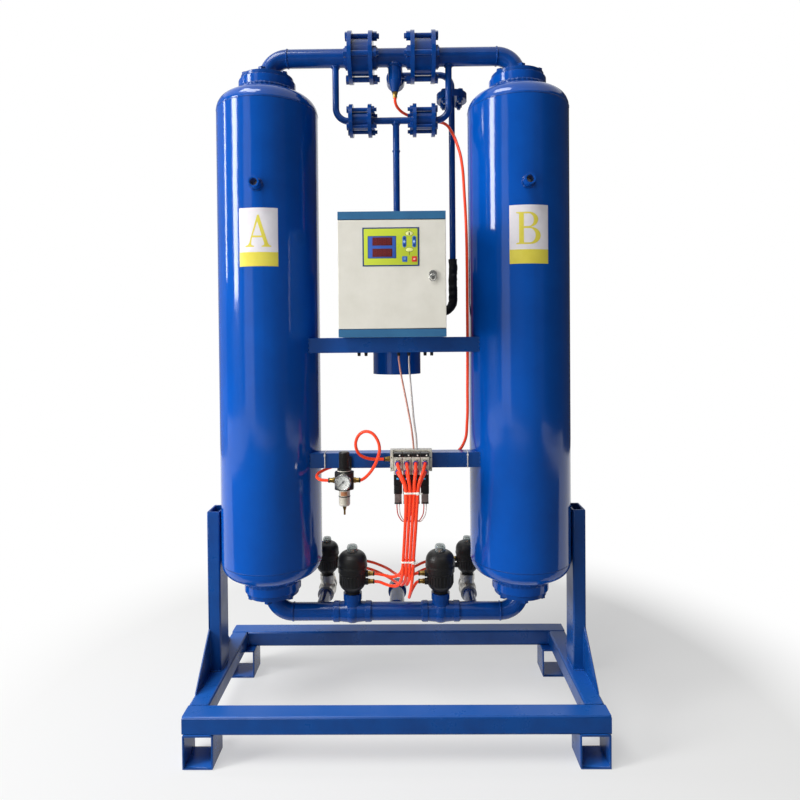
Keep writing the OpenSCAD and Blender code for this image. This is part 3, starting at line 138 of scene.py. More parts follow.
# Thin wires that hang in a loop under each coil plug and go up behind it to the manifold
coilMiddles = (8.5, 31.5, 54.5, 77.5)
coilWires = {
    "diameter": 2.8,
    "middle": 43.0,
    "pair": (-3.0, 3.0),
    "stagger": 0.8,
    "drop": [(-117, 607), (-117, 597), (-115, 578), (-109, 560), (-101, 563), (-94, 592), (-90, 640),
             (-86, 687)],
    "gather": (0, 0, 0.08, 0.4, 0.7, 0.8, 0.8, 0.8),  # share of the way to the middle at each place
}


# Places on a smooth line through the route, with steps of them for each stretch
def smoothRoute(route, steps):
    p = [Vector(q) * mm for q in route]
    line = []
    for i in range(len(p) - 1):
        a, b, c, d = p[max(i - 1, 0)], p[i], p[i + 1], p[min(i + 2, len(p) - 1)]
        for k in range(steps):
            t = k / steps
            line.append(0.5 * (2 * b + (c - a) * t + (2 * a - 5 * b + 4 * c - d) * t * t
                               + (3 * b - a - 3 * c + d) * t * t * t))
    return line + [p[-1]]


def addCord(name, route, steps, diameter):
    line = smoothRoute(route, steps)
    curve = bpy.data.curves.new(name, "CURVE")
    curve.dimensions = "3D"
    curve.bevel_depth = 1.0  # the points carry the radius, so that the curve's box fits it
    curve.bevel_resolution = 5
    curve.use_fill_caps = True
    curve.resolution_u = 6
    spline = curve.splines.new("BEZIER")
    spline.bezier_points.add(len(line) - 1)
    for point, place in zip(spline.bezier_points, line):
        point.co = place
        point.handle_left_type = point.handle_right_type = "AUTO"
        point.radius = diameter * mm / 2
    cord = bpy.data.objects.new(name, curve)
    scene.collection.objects.link(cord)
    bpy.context.view_layer.update()
    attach(cord, "frame")
    return cord


supplyTube = addCord("supplyTube", airTubes["supply"], 1, airTubes["diameter"])
loopTube = addCord("loopTube", airTubes["loop"], 2, airTubes["diameter"])
controlTubes = []
for i, (xs, rest) in enumerate(airTubes["control"]):
    route = [(x, y, z) for x, (y, z) in zip(xs, airTubes["rows"][i % 2])] + rest
    controlTubes.append(addCord("controlTube%d" % (i + 1), route, 2, airTubes["diameter"]))
cables = [addCord("signalCable%d" % (i + 1), route, 3, signalCables["diameter"])
          for i, route in enumerate(signalCables["routes"])]
wires = []
for coilX in coilMiddles:
    for j, side in enumerate(coilWires["pair"]):
        route = [(coilX + side + (coilWires["middle"] - coilX) * share, y - j * coilWires["stagger"], z)
                 for share, (y, z) in zip(coilWires["gather"], coilWires["drop"])]
        wires.append(addCord("coilWire%d" % (len(wires) + 1), route, 3, coilWires["diameter"]))
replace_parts(supplyTube, "supply_tube")
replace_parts(loopTube, "loop_tube")
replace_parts(controlTubes[0], "control_tubes")
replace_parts(cables[0], "signal_cables")
print("cords laid:", 2 + len(controlTubes) + len(cables) + len(wires))


# Materials
def linear(hexText):
    parts = [int(hexText[i:i + 2], 16) / 255 for i in (1, 3, 5)]
    return tuple(c / 12.92 if c <= 0.04045 else ((c + 0.055) / 1.055) ** 2.4 for c in parts) + (1.0,)


# The node tree of a material or world, emptied
def emptyTree(holder):
    holder.use_nodes = True
    holder.node_tree.nodes.clear()
    return holder.node_tree


# Adds a node, sets its own settings, and fills each input with a value or a link
def addNode(tree, kind, inputs, **settings):
    node = tree.nodes.new("ShaderNode" + kind)
    for name, value in settings.items():
        setattr(node, name, value)
    for socket, source in inputs.items():
        if isinstance(source, bpy.types.NodeSocket):
            tree.links.new(source, node.inputs[socket])
        else:
            node.inputs[socket].default_value = source
    return node


finishes = {}


# A finish has two tones in patches of a width in mm, a range of roughness, and bumps as (grain mm, height mm)
def makeFinish(name, colour, shade, patch, roughness, bumps, metallic=0.0, specular=0.5, coat=0.0,
               paintedGlow=0.0, edge=None, upper=None, scuffs=None):
    material = bpy.data.materials.new(name)
    tree = emptyTree(material)
    place = addNode(tree, "TexCoord", {}).outputs["Object"]
    patches = addNode(tree, "TexNoise", {
        "Vector": place, "Scale": 1 / (patch * mm), "Detail": 5.0, "Roughness": 0.6}).outputs["Fac"]
    share = addNode(tree, "MapRange", {"Value": patches, "From Min": 0.35, "From Max": 0.65})
    tint = addNode(tree, "Mix", {
        "Factor": share.outputs["Result"], "A": linear(colour), "B": linear(shade)},
        data_type="RGBA").outputs["Result"]
    # Painted light: faces that look up are mixed towards a lighter tone, as if lit from above
    if upper:
        normal = addNode(tree, "NewGeometry", {}).outputs["Normal"]
        up = addNode(tree, "SeparateXYZ", {"Vector": normal}).outputs["Z"]
        above = addNode(tree, "MapRange", {"Value": up, "From Min": 0.6, "From Max": 0.98})
        tint = addNode(tree, "Mix", {
            "Factor": above.outputs["Result"], "A": tint, "B": linear(upper)},
            data_type="RGBA").outputs["Result"]
    if scuffs:
        grit = addNode(tree, "TexNoise", {
            "Vector": place, "Scale": 1 / (scuffs["size"] * mm), "Detail": 8.0, "Roughness": 0.75})
        worn = addNode(tree, "MapRange", {
            "Value": grit.outputs["Fac"], "From Min": scuffs["from"], "From Max": scuffs["from"] + 0.1})
        tint = addNode(tree, "Mix", {
            "Factor": worn.outputs["Result"], "A": tint, "B": linear(scuffs["colour"])},
            data_type="RGBA").outputs["Result"]
    rough = addNode(tree, "MapRange", {
        "Value": patches, "From Min": 0.3, "From Max": 0.7, "To Min": roughness[0], "To Max": roughness[1]})
    relief = {}
    if edge:
        rounded = addNode(tree, "Bevel", {"Radius": edge * mm}, samples=4)
        relief = {"Normal": rounded.outputs["Normal"]}
    for grain, height in bumps:
        grains = addNode(tree, "TexNoise", {
            "Vector": place, "Scale": 1 / (grain * mm), "Detail": 3.0, "Roughness": 0.5})
        bump = addNode(tree, "Bump", {
            "Height": grains.outputs["Fac"], "Strength": 1.0, "Distance": height * mm, **relief})
        relief = {"Normal": bump.outputs["Normal"]}
    # The emission in the finish's own colour is a painted glow: the piece gives light though it is no lamp
    shader = addNode(tree, "BsdfPrincipled", {
        "Base Color": tint, "Roughness": rough.outputs["Result"], "Metallic": metallic, "IOR": 1.5,
        "Specular IOR Level": specular, "Coat Weight": coat, "Emission Color": linear(colour),
        "Emission Strength": paintedGlow, **relief})
    addNode(tree, "OutputMaterial", {"Surface": shader.outputs["BSDF"]})
    finishes[name] = material


# Grains finer than a millimetre, as on powder coat, moulded plastic, blasted steel and turned brass, would
# not show, so they are drawn at 1.2 to 2.4 mm
looks = {
    # Sprayed gloss enamel on rolled steel: deep blue, mirror streaks that waver with plate and orange peel
    "shellEnamel": ("#044ca6", "#03469b", 160, (0.08, 0.14), [(220, 1.6), (9, 0.035)], {"edge": 1.5}),
    # The same enamel on pipes and castings: thicker, with sags that make short broken highlights
    "pipeEnamel": ("#06428f", "#05397f", 50, (0.13, 0.24), [(26, 0.35), (6, 0.04)],
                   {"specular": 0.38, "edge": 1.2}),
    # The same enamel on mill-finish section: flatter, with pale scuffs, and painted light on its upper faces:
    # a lighter tone where light from above would fall
    "skidEnamel": ("#0b478f", "#093d80", 90, (0.24, 0.38), [(60, 0.25), (5, 0.03)],
                   {"specular": 0.36, "upper": "#2264bd",
                    "scuffs": {"size": 34, "from": 0.68, "colour": "#3b66ac"}}),
    # Textured powder coat on folded sheet: ivory, a fine even grain, soft sheen
    "ivoryPowder": ("#dedbd1", "#d6d3c8", 70, (0.36, 0.46), [(1.6, 0.025), (120, 0.4)], {"specular": 0.4}),
    # The same powder coat in teal on the case
    "tealPowder": ("#336a94", "#2d6089", 70, (0.36, 0.46), [(1.6, 0.025), (120, 0.4)],
                   {"specular": 0.4, "edge": 0.8}),
    # Moulded glass-filled nylon: near black, dull, with a fine spark-eroded grain
    "blackNylon": ("#212120", "#191918", 18, (0.36, 0.5), [(1.4, 0.05)], {"edge": 0.6}),
    # Smooth moulded ABS: black with a soft shine
    "blackAbs": ("#1b1b1c", "#151516", 25, (0.28, 0.38), [(2.0, 0.01)], {"edge": 0.5}),
    # Extruded polyurethane tube: hot orange and glossy, with a painted glow: a faint emission in its own
    # colour that lifts and warms its shadows
    "orangePolyurethane": ("#fa4a28", "#f23e1e", 40, (0.24, 0.34), [(14, 0.05)],
                           {"specular": 0.32, "paintedGlow": 0.16}),
    # PVC sheath: satin, off-white and salmon on the cables, and off-white, red and blue on the coil wires
    "cableSheathPvc": ("#ddd5cf", "#cfc4bd", 20, (0.35, 0.45), [(8, 0.04)], {}),
    "salmonSheathPvc": ("#e0a392", "#d4917f", 20, (0.35, 0.45), [(8, 0.04)], {}),
    "redSheathPvc": ("#c9372c", "#b52e25", 20, (0.35, 0.45), [(8, 0.04)], {}),
    "blueSheathPvc": ("#3f55a8", "#354996", 20, (0.35, 0.45), [(8, 0.04)], {}),
    # Turned brass: warm yellow with fine tool rings, a little tarnished
    "turnedBrass": ("#d3b167", "#b08c44", 9, (0.22, 0.38), [(1.2, 0.015)], {"metallic": 1.0, "edge": 0.4}),
    # Die-cast aluminium with a satin anodised skin: pale grey, a little warm
    "anodisedAluminium": ("#dfdbcf", "#d2cdc0", 22, (0.34, 0.46), [(1.5, 0.02)],
                          {"metallic": 0.3, "edge": 0.5}),
    # Cast and bead-blasted stainless steel: grey with a mottled shine
    "castStainless": ("#d2d0c9", "#a9a7a0", 14, (0.28, 0.45), [(5, 0.15), (1.5, 0.03)],
                      {"metallic": 0.8, "edge": 0.8}),
    # Chrome plate on zinc: bright and sharp, dark where the room is dark
    "chromePlate": ("#e6e6e2", "#d2d2ce", 12, (0.1, 0.18), [(6, 0.02)], {"metallic": 0.88, "edge": 0.5}),
    # Closed-cell rubber foam round the feed pipe: soft black, wrinkled where it bends
    "pipeFoam": ("#1a1b1d", "#111214", 16, (0.55, 0.75), [(11, 0.6), (2, 0.08)], {"specular": 0.3}),
    # Compressed fibre gasket: dull dark grey edge
    "fibreGasket": ("#2c2d30", "#212225", 6, (0.7, 0.85), [(1.5, 0.05)], {"specular": 0.3}),
    # Activated alumina beads seen as a packed bed: chalky white and lumpy
    "aluminaBeads": ("#ece8dc", "#d8d3c4", 5, (0.8, 0.9), [(4, 0.8)], {"specular": 0.3}),
    # Satin aluminium bowl: pale and warm, with soft light along its sides
    "satinAluminium": ("#e2dccd", "#cfc8b8", 14, (0.3, 0.42), [(3, 0.03)], {"metallic": 0.35}),
    # Amber sight glass in the bowl, with the bronze element behind it
    "amberSightGlass": ("#c48a63", "#a9704c", 5, (0.08, 0.16), [(2, 0.02)], {"coat": 0.6}),
    # Grey moulded plug bodies, a little pink where the wires show through
    "plugGreyNylon": ("#6f6663", "#5a5351", 7, (0.4, 0.5), [(1.6, 0.03)], {}),
    # Signal orange lacquer on the valve stems, as seen through the domes
    "signalOrange": ("#f08a24", "#e67614", 8, (0.3, 0.4), [(2, 0.02)], {}),
    # Vinyl label film, white and yellow, with a faint ripple where it was rubbed down
    "labelVinylWhite": ("#e4e0e4", "#dad6dc", 45, (0.3, 0.42), [(30, 0.12)], {}),
    "labelVinylYellow": ("#dfd254", "#d8ca48", 45, (0.3, 0.42), [(30, 0.12)], {}),
    # Nylon 66 ties: milky white, slightly waxy
    "naturalNylon": ("#f1eee6", "#e2ded4", 6, (0.35, 0.45), [(2, 0.03)], {}),
    # Acetal release rings: violet blue with a soft shine
    "violetAcetal": ("#4b3f9e", "#3c3488", 6, (0.3, 0.4), [(2, 0.02)], {}),
    # Nickel plated brass: warm silver
    "nickelPlate": ("#d8d5cd", "#bdb9b0", 7, (0.16, 0.28), [(1.5, 0.01)], {"metallic": 1.0, "edge": 0.4}),
    # Blue light pipe in the coils: bright and glassy
    "lightPipeBlue": ("#4fb4f0", "#3aa0e0", 4, (0.15, 0.25), [(2, 0.01)], {}),
}
for name, (*look, more) in looks.items():
    makeFinish(name, *look, **more)
# Printed polyester film, one material for each ink, satin over a flat adhesive back
for name, ink in {
        "inkNavy": "#1f3b70", "inkLime": "#c6d540", "inkBlue": "#3c62b8", "inkWindow": "#5c1f23",
        "inkSegment": "#8a2f2d", "inkWhite": "#e9e9dd", "inkBlack": "#20242b", "inkRed": "#cf3a34",
        "inkKeyBlue": "#2f63b4", "inkPaleBlue": "#a9c3e6", "inkPink": "#f3b3a4", "inkDial": "#fbfbf8",
        "inkPaleLime": "#e3e98c"}.items():
    makeFinish(name, ink, ink, 30, (0.26, 0.36), [(2.4, 0.006)])


# Clear pieces are seen through, with a bright mirror where the eye meets them at a slant
def makeClear(name, tint, haze):
    material = bpy.data.materials.new(name)
    tree = emptyTree(material)
    through = addNode(tree, "BsdfTransparent", {"Color": linear(tint)})
    mirror = addNode(tree, "BsdfPrincipled", {
        "Base Color": linear("#dfe6e6"), "Roughness": 0.06, "Specular IOR Level": 0.8})
    slant = addNode(tree, "LayerWeight", {"Blend": 0.12}).outputs["Facing"]
    share = addNode(tree, "MapRange", {"Value": slant, "To Min": haze, "To Max": 1.0})
    mixed = addNode(tree, "MixShader", {
        0: share.outputs["Result"], 1: through.outputs["BSDF"], 2: mirror.outputs["BSDF"]})
    addNode(tree, "OutputMaterial", {"Surface": mixed.outputs["Shader"]})
    finishes[name] = material


# Clear moulded polycarbonate of the domes: a little grey and milky
makeClear("clearPolycarbonate", "#dfe3e1", 0.14)
# Float glass of the gauge: almost unseen from the front
makeClear("gaugeGlass", "#ffffff", 0.03)

finishOf = {
    "shellEnamel": ["tower_a", "tower_b", "heater_vessel"],
    "pipeEnamel": ["cover_bolts", "upper_pipe_a", "upper_pipe_b", "outlet_tee", "check_bodies",
                   "flange_studs", "purge_tee", "purge_feed_pipe", "lower_pipe_a", "lower_pipe_b",
                   "inlet_tee", "main_valve_bodies"],
    "skidEnamel": ["cross_rails", "side_rails", "skid_feet", "uprights", "shelf_bar", "instrument_bar"],
    "ivoryPowder": ["control_door"],
    "tealPowder": ["control_case"],
    "blackNylon": ["actuator_housings", "actuator_lids", "regulator_body", "power_relay", "controller"],
    "blackAbs": ["cable_glands", "regulator_knob", "gauge_needle", "solenoid_coils"],
    "turnedBrass": ["brass_fittings", "exhaust_silencers"],
    "anodisedAluminium": ["solenoid_manifold", "solenoid_valves"],
    "castStainless": ["exhaust_valve_bodies", "bed_screens", "check_disc_a", "check_disc_b",
                      "purge_disc_a", "purge_disc_b", "heater_element"],
    "signalOrange": ["main_stem_a", "main_stem_b", "exhaust_stem_a", "exhaust_stem_b"],
    "chromePlate": ["door_lock", "pressure_gauge"],
    "pipeFoam": ["pipe_insulation"],
    "fibreGasket": ["cover_gaskets"],
    "aluminaBeads": ["desiccant_beds"],
    "clearPolycarbonate": ["indicator_caps"],
    "satinAluminium": ["filter_bowl"],
    "inkNavy": ["membrane_panel"],
    "nickelPlate": ["push_fittings"],
    "orangePolyurethane": ["supply_tube", "loop_tube", "control_tubes"],
    "cableSheathPvc": ["signal_cables"],
}


def paint(piece, finish):
    piece.data.materials.clear()
    piece.data.materials.append(finishes[finish])


for finish, names in finishOf.items():
    for nodeName in names:
        paint(cad[nodeName], finish)
for tube in [supplyTube, loopTube] + controlTubes:
    paint(tube, "orangePolyurethane")
sheaths = "salmon cable red cable blue red red cable red cable".split()
for cord, sheath in zip(cables + wires, sheaths):
    paint(cord, sheath + "SheathPvc")
print("materials on", len(finishOf), "groups of nodes")


# Turns a bmesh into a named piece on a body, with its finish, shaded smooth, flat or as it is
def addPiece(name, shape, finish, body="frame", smooth=True):
    bmesh.ops.recalc_face_normals(shape, faces=shape.faces[:])
    mesh = bpy.data.meshes.new(name)
    shape.to_mesh(mesh)
    shape.free()
    piece = bpy.data.objects.new(name, mesh)
    scene.collection.objects.link(piece)
    if smooth is not None:
        for face in mesh.polygons:
            face.use_smooth = smooth
    if smooth:
        mesh.set_sharp_from_angle(angle=radians(35))
    paint(piece, finish)
    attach(piece, body)
    return piece


# Joins rings of places in turn: around closes each ring, along joins the last ring to the first, and ends
# fills the first ring and the last
def skin(shape, rings, around=True, along=False, ends=False):
    rings = [[shape.verts.new(place) for place in ring] for ring in rings]
    count = len(rings[0])
    for one, two in zip(rings, rings[1:] + rings[:1] if along else rings[1:]):
        for s in range(count if around else count - 1):
            n = (s + 1) % count
            shape.faces.new((one[s], two[s], two[n], one[n]))
    if ends:
        shape.faces.new(rings[0])
        shape.faces.new(rings[-1])
    return rings


def evenAngles(count):
    return [2 * pi * k / count for k in range(count)]


# Turns Z to the axis
def tilt(axis):
    return Vector(alongZ).rotation_difference(Vector(axis)).to_matrix()


# Revolves (radius, height) points in mm about an axis through a place in metres, and caps an open line
def lathe(shape, profile, place, axis, segments=48):
    turn = tilt(axis)
    rings = skin(shape, [[Vector(place) + turn @ Vector((r * cos(a), r * sin(a), z)) * mm
                          for r, z in profile] for a in evenAngles(segments)], around=False, along=True)
    for end in (0, -1):
        if profile[end][0] > 0 and profile[0] != profile[-1]:
            shape.faces.new([ring[end] for ring in rings])
    bmesh.ops.remove_doubles(shape, verts=shape.verts[:], dist=1e-6)


# One piece of turned parts, each given as lathe takes it
def addTurned(name, parts, finish, body="frame"):
    shape = bmesh.new()
    for part in parts:
        lathe(shape, *part)
    addPiece(name, shape, finish, body)


# Flat outline with round corners, in mm about its middle
def roundedOutline(width, height, corner, steps=5):
    points = []
    for sx, sz, start in ((1, 1, 0), (-1, 1, 90), (-1, -1, 180), (1, -1, 270)):
        for k in range(steps + 1):
            a = radians(start + 90 * k / steps)
            points.append((sx * (width / 2 - corner) + corner * cos(a),
                           sz * (height / 2 - corner) + corner * sin(a)))
    return points


# Plate standing in the XZ plane: outline in mm about place, its front towards -Y with a small round edge
def standingPlate(shape, outline, place, thickness, edge):
    x0, y0, z0 = place
    reach = max(abs(x) for x, z in outline)
    rise = max(abs(z) for x, z in outline)
    steps = ((0, 0), (thickness - edge, 0), (thickness - 0.3 * edge, 0.3 * edge), (thickness, edge))
    skin(shape, [[(x0 + x * mm * (1 - inset / reach), y0 - depth * mm, z0 + z * mm * (1 - inset / rise))
                  for x, z in outline] for depth, inset in steps], ends=True)


def joinInto(shape, part):
    copy = bpy.data.meshes.new("joined")
    part.to_mesh(copy)
    part.free()
    shape.from_mesh(copy)
    bpy.data.meshes.remove(copy)


# Box with rounded edges, given by its two corners in mm
def softBox(shape, low, high, edge):
    part = bmesh.new()
    bmesh.ops.create_cube(part, size=1)
    for vert in part.verts:
        vert.co = Vector([(low[i] + high[i]) / 2 + vert.co[i] * (high[i] - low[i]) for i in range(3)]) * mm
    bmesh.ops.bevel(part, geom=part.edges[:], offset=edge * mm, segments=2, affect="EDGES", profile=0.5)
    joinInto(shape, part)


# One piece of boxes, repeated at each middle: ranges of x about it, of y and of z, and the edge, in mm
def addBoxes(name, middles, boxes, finish):
    shape = bmesh.new()
    for x0 in middles:
        for (x1, x2), (y1, y2), (z1, z2), edge in boxes:
            softBox(shape, (x0 + x1, y1, z1), (x0 + x2, y2, z2), edge)
    addPiece(name, shape, finish)


# Measures that several pieces share, taken from the frame
def middle(box):
    return (Vector(box[0]) + Vector(box[1])) / 2


towerMiddle = {letter: middle(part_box("tower_" + letter)) for letter in "ab"}
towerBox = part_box("tower_a")
towerRadius = (towerBox[1][0] - towerBox[0][0]) / 2
towerTop = towerBox[1][2]
towerFoot = towerBox[0][2]

# Boxy nodes get rounded outer edges on a copy that stands for them: width of the round and shortest edge
softEdges = {"cross_rails": (4.5, 60), "side_rails": (4.5, 60), "skid_feet": (4.0, 60), "uprights": (4.0, 60),
             "shelf_bar": (1.4, 60), "instrument_bar": (1.4, 60), "control_door": (1.5, 60)}


def softenNode(nodeName, width, shortest, body):
    shape = bmesh.new()
    shape.from_mesh(cad[nodeName].data)
    bmesh.ops.remove_doubles(shape, verts=shape.verts[:], dist=1e-6)
    front = min(vert.co.y for vert in shape.verts) + mm
    outer = []
    for edge in shape.edges:
        edge.smooth = True
        if len(edge.link_faces) != 2 or edge.calc_face_angle_signed() <= 1.0:
            continue
        atFront = all(vert.co.y < front for vert in edge.verts)
        if edge.calc_length() > shortest * mm and (nodeName != "control_door" or atFront):
            outer.append(edge)
    for face in shape.faces:
        face.smooth = False
    done = bmesh.ops.bevel(shape, geom=outer, offset=width * mm, segments=4, affect="EDGES", profile=0.5,
                           clamp_overlap=True)
    for face in done["faces"]:
        face.smooth = True
    words = nodeName.split("_")
    pieceName = words[0] + "".join(word.capitalize() for word in words[1:])
    finish = cad[nodeName].data.materials[0].name
    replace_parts(addPiece(pieceName, shape, finish, body, None), nodeName)


for nodeName, (width, shortest) in softEdges.items():
    softenNode(nodeName, width, shortest, "door" if nodeName == "control_door" else "frame")
print("edges rounded on", len(softEdges), "nodes")

# Tower labels: white film with a yellow strip and a serif letter, wrapped on the shell
labels = {"width": 100.0, "height": 148.0, "strip": 36.0, "middleZ": 1293.0, "turn": 0.02, "letterFoot": 49.0,
          "lift": 0.35, "ripple": 0.12, "letterLift": 0.6, "rimLift": 0.02, "columns": 30, "rowHeight": 6}


def arcPoints(cx, cz, rx, rz, start, end, steps=14):
    return [(cx + rx * cos(radians(start + (end - start) * k / steps)),
             cz + rz * sin(radians(start + (end - start) * k / steps))) for k in range(steps + 1)]


# Each letter is an outline and its holes, in mm from the middle of its foot
letterShapes = {
    "a": [[(-33, 0), (-10, 0), (-10, 2.6), (-16, 4), (-18, 8), (-15, 24), (10.6, 24), (15.5, 9), (15, 4.2),
           (9, 2.6), (9, 0), (33, 0), (33, 2.6), (28, 4.5), (25, 9), (2.5, 81), (-1.5, 81), (-22.5, 10),
           (-26, 4.8), (-33, 2.6)],
          [(-13.6, 28.5), (9.4, 28.5), (-1.6, 64)]],
    "b": [[(-33, 0), (2, 0)] + arcPoints(2, 21.5, 27, 21.5, -88, 88) + arcPoints(-1, 62, 23.5, 19, -82, 90)
          + [(-33, 81), (-33, 78.4), (-26, 76.5), (-26, 4.5), (-33, 2.6)],
          [(-14, 4)] + arcPoints(0, 22, 15.5, 18, -90, 90) + [(-14, 40)],
          [(-14, 45)] + arcPoints(-2, 61, 13, 16, -90, 90) + [(-14, 77)]],
}


# Bends flat points (x, lift, z) in mm round the shell of a tower
def wrapOnShell(shape, letter):
    axis = towerMiddle[letter]
    for vert in shape.verts:
        x, lift, z = vert.co
        a = labels["turn"] + x * mm / towerRadius
        r = towerRadius + lift * mm
        vert.co = (axis.x + r * sin(a), -r * cos(a), z * mm)


def labelFilm(name, letter, z0, z1, finish):
    columns, rows = labels["columns"], max(4, int((z1 - z0) / labels["rowHeight"]))
    shape = bmesh.new()
    grid = []
    for j in range(rows + 1):
        grid.append([])
        for i in range(columns + 1):
            inside = 0 < i < columns and 0 < j < rows
            lift = labels["lift"] + (dice.uniform(0, labels["ripple"]) if inside else 0)
            grid[-1].append((labels["width"] * (i / columns - 0.5), lift, z0 + (z1 - z0) * j / rows))
    skin(shape, grid, around=False)
    rim = bmesh.ops.extrude_edge_only(shape, edges=[e for e in shape.edges if e.is_boundary])
    for vert in [g for g in rim["geom"] if isinstance(g, bmesh.types.BMVert)]:
        vert.co.y = labels["rimLift"]
    wrapOnShell(shape, letter)
    addPiece(name, shape, finish)


def labelLetter(name, letter, foot):
    shape = bmesh.new()
    for outline in letterShapes[letter]:
        ring = [shape.verts.new((x, labels["letterLift"], foot + z)) for x, z in outline]
        for k in range(len(ring)):
            shape.edges.new((ring[k], ring[(k + 1) % len(ring)]))
    bmesh.ops.triangle_fill(shape, use_beauty=True, use_dissolve=False, edges=shape.edges[:])
    bmesh.ops.subdivide_edges(shape, edges=shape.edges[:], cuts=3, use_grid_fill=True)
    wrapOnShell(shape, letter)
    addPiece(name, shape, "labelVinylYellow")


for letter in "ab":
    foot = labels["middleZ"] - labels["height"] / 2
    top = foot + labels["height"]
    labelFilm("labelWhite" + letter.upper(), letter, foot + labels["strip"], top, "labelVinylWhite")
    labelFilm("labelStrip" + letter.upper(), letter, foot, foot + labels["strip"], "labelVinylYellow")
    labelLetter("labelLetter" + letter.upper(), letter, foot + labels["letterFoot"])
print("tower labels wrapped")

# Weld beads under the paint: rings of overlapping ripples, and straight runs
welds = {"ripple": 0.35, "pitch": 4.0, "sides": 8, "squash": 0.7, "drift": 0.12}


# A ring about a place in metres, its radius and bead in mm
def weldRing(shape, place, axis, radius, bead):
    turn = tilt(axis)
    rings = []
    for a in evenAngles(max(36, int(2 * pi * radius / welds["pitch"]) * 4)):
        ripple = welds["ripple"] * abs(sin(a * radius / welds["pitch"]))
        swell = bead * (1 + ripple * dice.uniform(0.6, 1.0))
        drift = dice.uniform(-welds["drift"], welds["drift"]) * bead
        out = Vector((cos(a), sin(a), 0))
        rings.append([Vector(place) + turn @ (out * (radius + swell * cos(b) * welds["squash"])
                                              + Vector((0, 0, swell * sin(b) + drift))) * mm
                      for b in evenAngles(welds["sides"])])
    skin(shape, rings, along=True)


# A run between two places in metres, its bead in mm
def weldRun(shape, start, end, bead):
    start, end = Vector(start), Vector(end)
    turn = tilt((end - start).normalized())
    length = (end - start).length / mm
    steps = max(6, int(length / welds["pitch"] * 3))
    rings = []
    for k in range(steps + 1):
        fade = min(1.0, 0.35 + 3 * min(k, steps - k) / steps * 2)
        swell = bead * fade * (1 + welds["ripple"] * abs(sin(pi * k / 3)) * dice.uniform(0.5, 1))
        rings.append([start + turn @ Vector((swell * cos(b), swell * sin(b), length * k / steps)) * mm
                      for b in evenAngles(welds["sides"])])
    skin(shape, rings, ends=True)


# Each ring: distance from the tower's end or height, radius and bead
towerWelds = {"neck": (27.0, 78.5, 4.2), "seam": (84.0, towerRadius / mm - 0.6, 1.5),
              "stub": (1425, 15.0, 3.2)}
towerBeads = bmesh.new()
for axis in towerMiddle.values():
    for face, side in ((towerTop, 1), (towerFoot, -1)):
        for inward, radius, bead in (towerWelds["neck"], towerWelds["seam"]):
            weldRing(towerBeads, (axis.x, 0, face - side * inward * mm), alongZ, radius, bead)
    height, radius, bead = towerWelds["stub"]
    weldRing(towerBeads, (axis.x, -towerRadius - 0.5 * mm, height * mm), alongY, radius, bead)
addPiece("towerWelds", towerBeads, "pipeEnamel")

# Each ring: middle in mm, axis, radius and bead. The paired ones are on both sides, without an x on a tower.
upperLine, lowerLine, purgeLine = 1803.97, 276.03, 1631.97
coverLift = 13.0
pipeWelds = {
    "paired": {
        "upperElbow": (286.0, 0, upperLine, alongX, 24.4, 1.9),
        "upperCover": (None, 0, towerTop / mm + coverLift, alongZ, 25.4, 3.4),
        "lowerElbow": (286.0, 0, lowerLine, alongX, 24.4, 1.9),
        "lowerCover": (None, 0, towerFoot / mm - coverLift, alongZ, 25.4, 3.4),
        "outerFlange": (127.0, 0, upperLine, alongX, 25.2, 2.6),
        "innerFlange": (42.0, 0, upperLine, alongX, 25.2, 2.6),
        "purgeDrop": (155.0, 0, upperLine - 24.4, alongZ, 10.2, 2.6),
        "purgeOuterFlange": (117.5, 0, purgeLine, alongX, 9.8, 2.2),
        "purgeInnerFlange": (55.5, 0, purgeLine, alongX, 9.8, 2.2),
        "valveOuter": (172.5, 0, lowerLine, alongX, 25.0, 2.4),
        "valveInner": (71.5, 0, lowerLine, alongX, 25.0, 2.4),
        "exhaustBranch": (212, 24, lowerLine, alongY, 17.5, 2.6),
    },
    "single": {
        "riserTop": (10.0, 0, purgeLine - 9, alongZ, 10.0, 2.4),
        "riserJoin": (10.0, 0, 1548.0, alongZ, 9.4, 2.0),
        "tap": (8.0, 0, upperLine - 23.5, alongZ, 18.5, 3.0),
        "outletPort": (8.0, 125.5, upperLine, alongY, 21.8, 2.4),
        "outletBranch": (8.0, 19, upperLine, alongY, 21.6, 3.0),
        "inletPort": (0, 125.5, lowerLine, alongY, 21.8, 2.4),
        "inletBranch": (0, 19, lowerLine, alongY, 21.6, 3.0),
    },
}
pipeBeads = bmesh.new()
for side, group in ((-1, "paired"), (1, "paired"), (1, "single")):
    towerX = abs(towerMiddle["a" if side < 0 else "b"].x) / mm
    for x, y, z, axis, radius, bead in pipeWelds[group].values():
        weldRing(pipeBeads, (side * (towerX if x is None else x) * mm, y * mm, z * mm), axis, radius, bead)
addPiece("pipeWelds", pipeBeads, "pipeEnamel")

# Each run on the right half of the skid: start and end in mm, and bead. All but one are in front and behind.
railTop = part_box("cross_rails")[1][2] / mm
skidWelds = [
    {"uprightSide": ((479.8, 35, railTop), (512, 35, railTop), 2.6)},
    {"uprightInner": ((479.8, -33, railTop), (479.8, 33, railTop), 2.8)},
    {"gussetFoot": ((508.5, 38, railTop), (508.5, 144, railTop), 2.2),
     "gussetBack": ((508.5, 35.5, railTop + 4), (508.5, 35.5, railTop + 108), 2.2),
     "railUpper": ((465.5, 182, railTop - 1), (512.5, 182, railTop - 1), 2.0),
     "railInner": ((464.8, 182, railTop - 4), (464.8, 182, railTop - 41), 2.4),
     "footFace": ((443, 231, 83), (511, 231, 83), 1.8),
     "footInner": ((439.8, 228, 83), (439.8, 184, 83), 2.2)},
]
barWelds = {"x": 226.2, "y": -69.5, "radius": 1.6, "bead": 1.8, "above": (0.003, 0.014, 0.026),
            "below": 0.003}
skidBeads = bmesh.new()
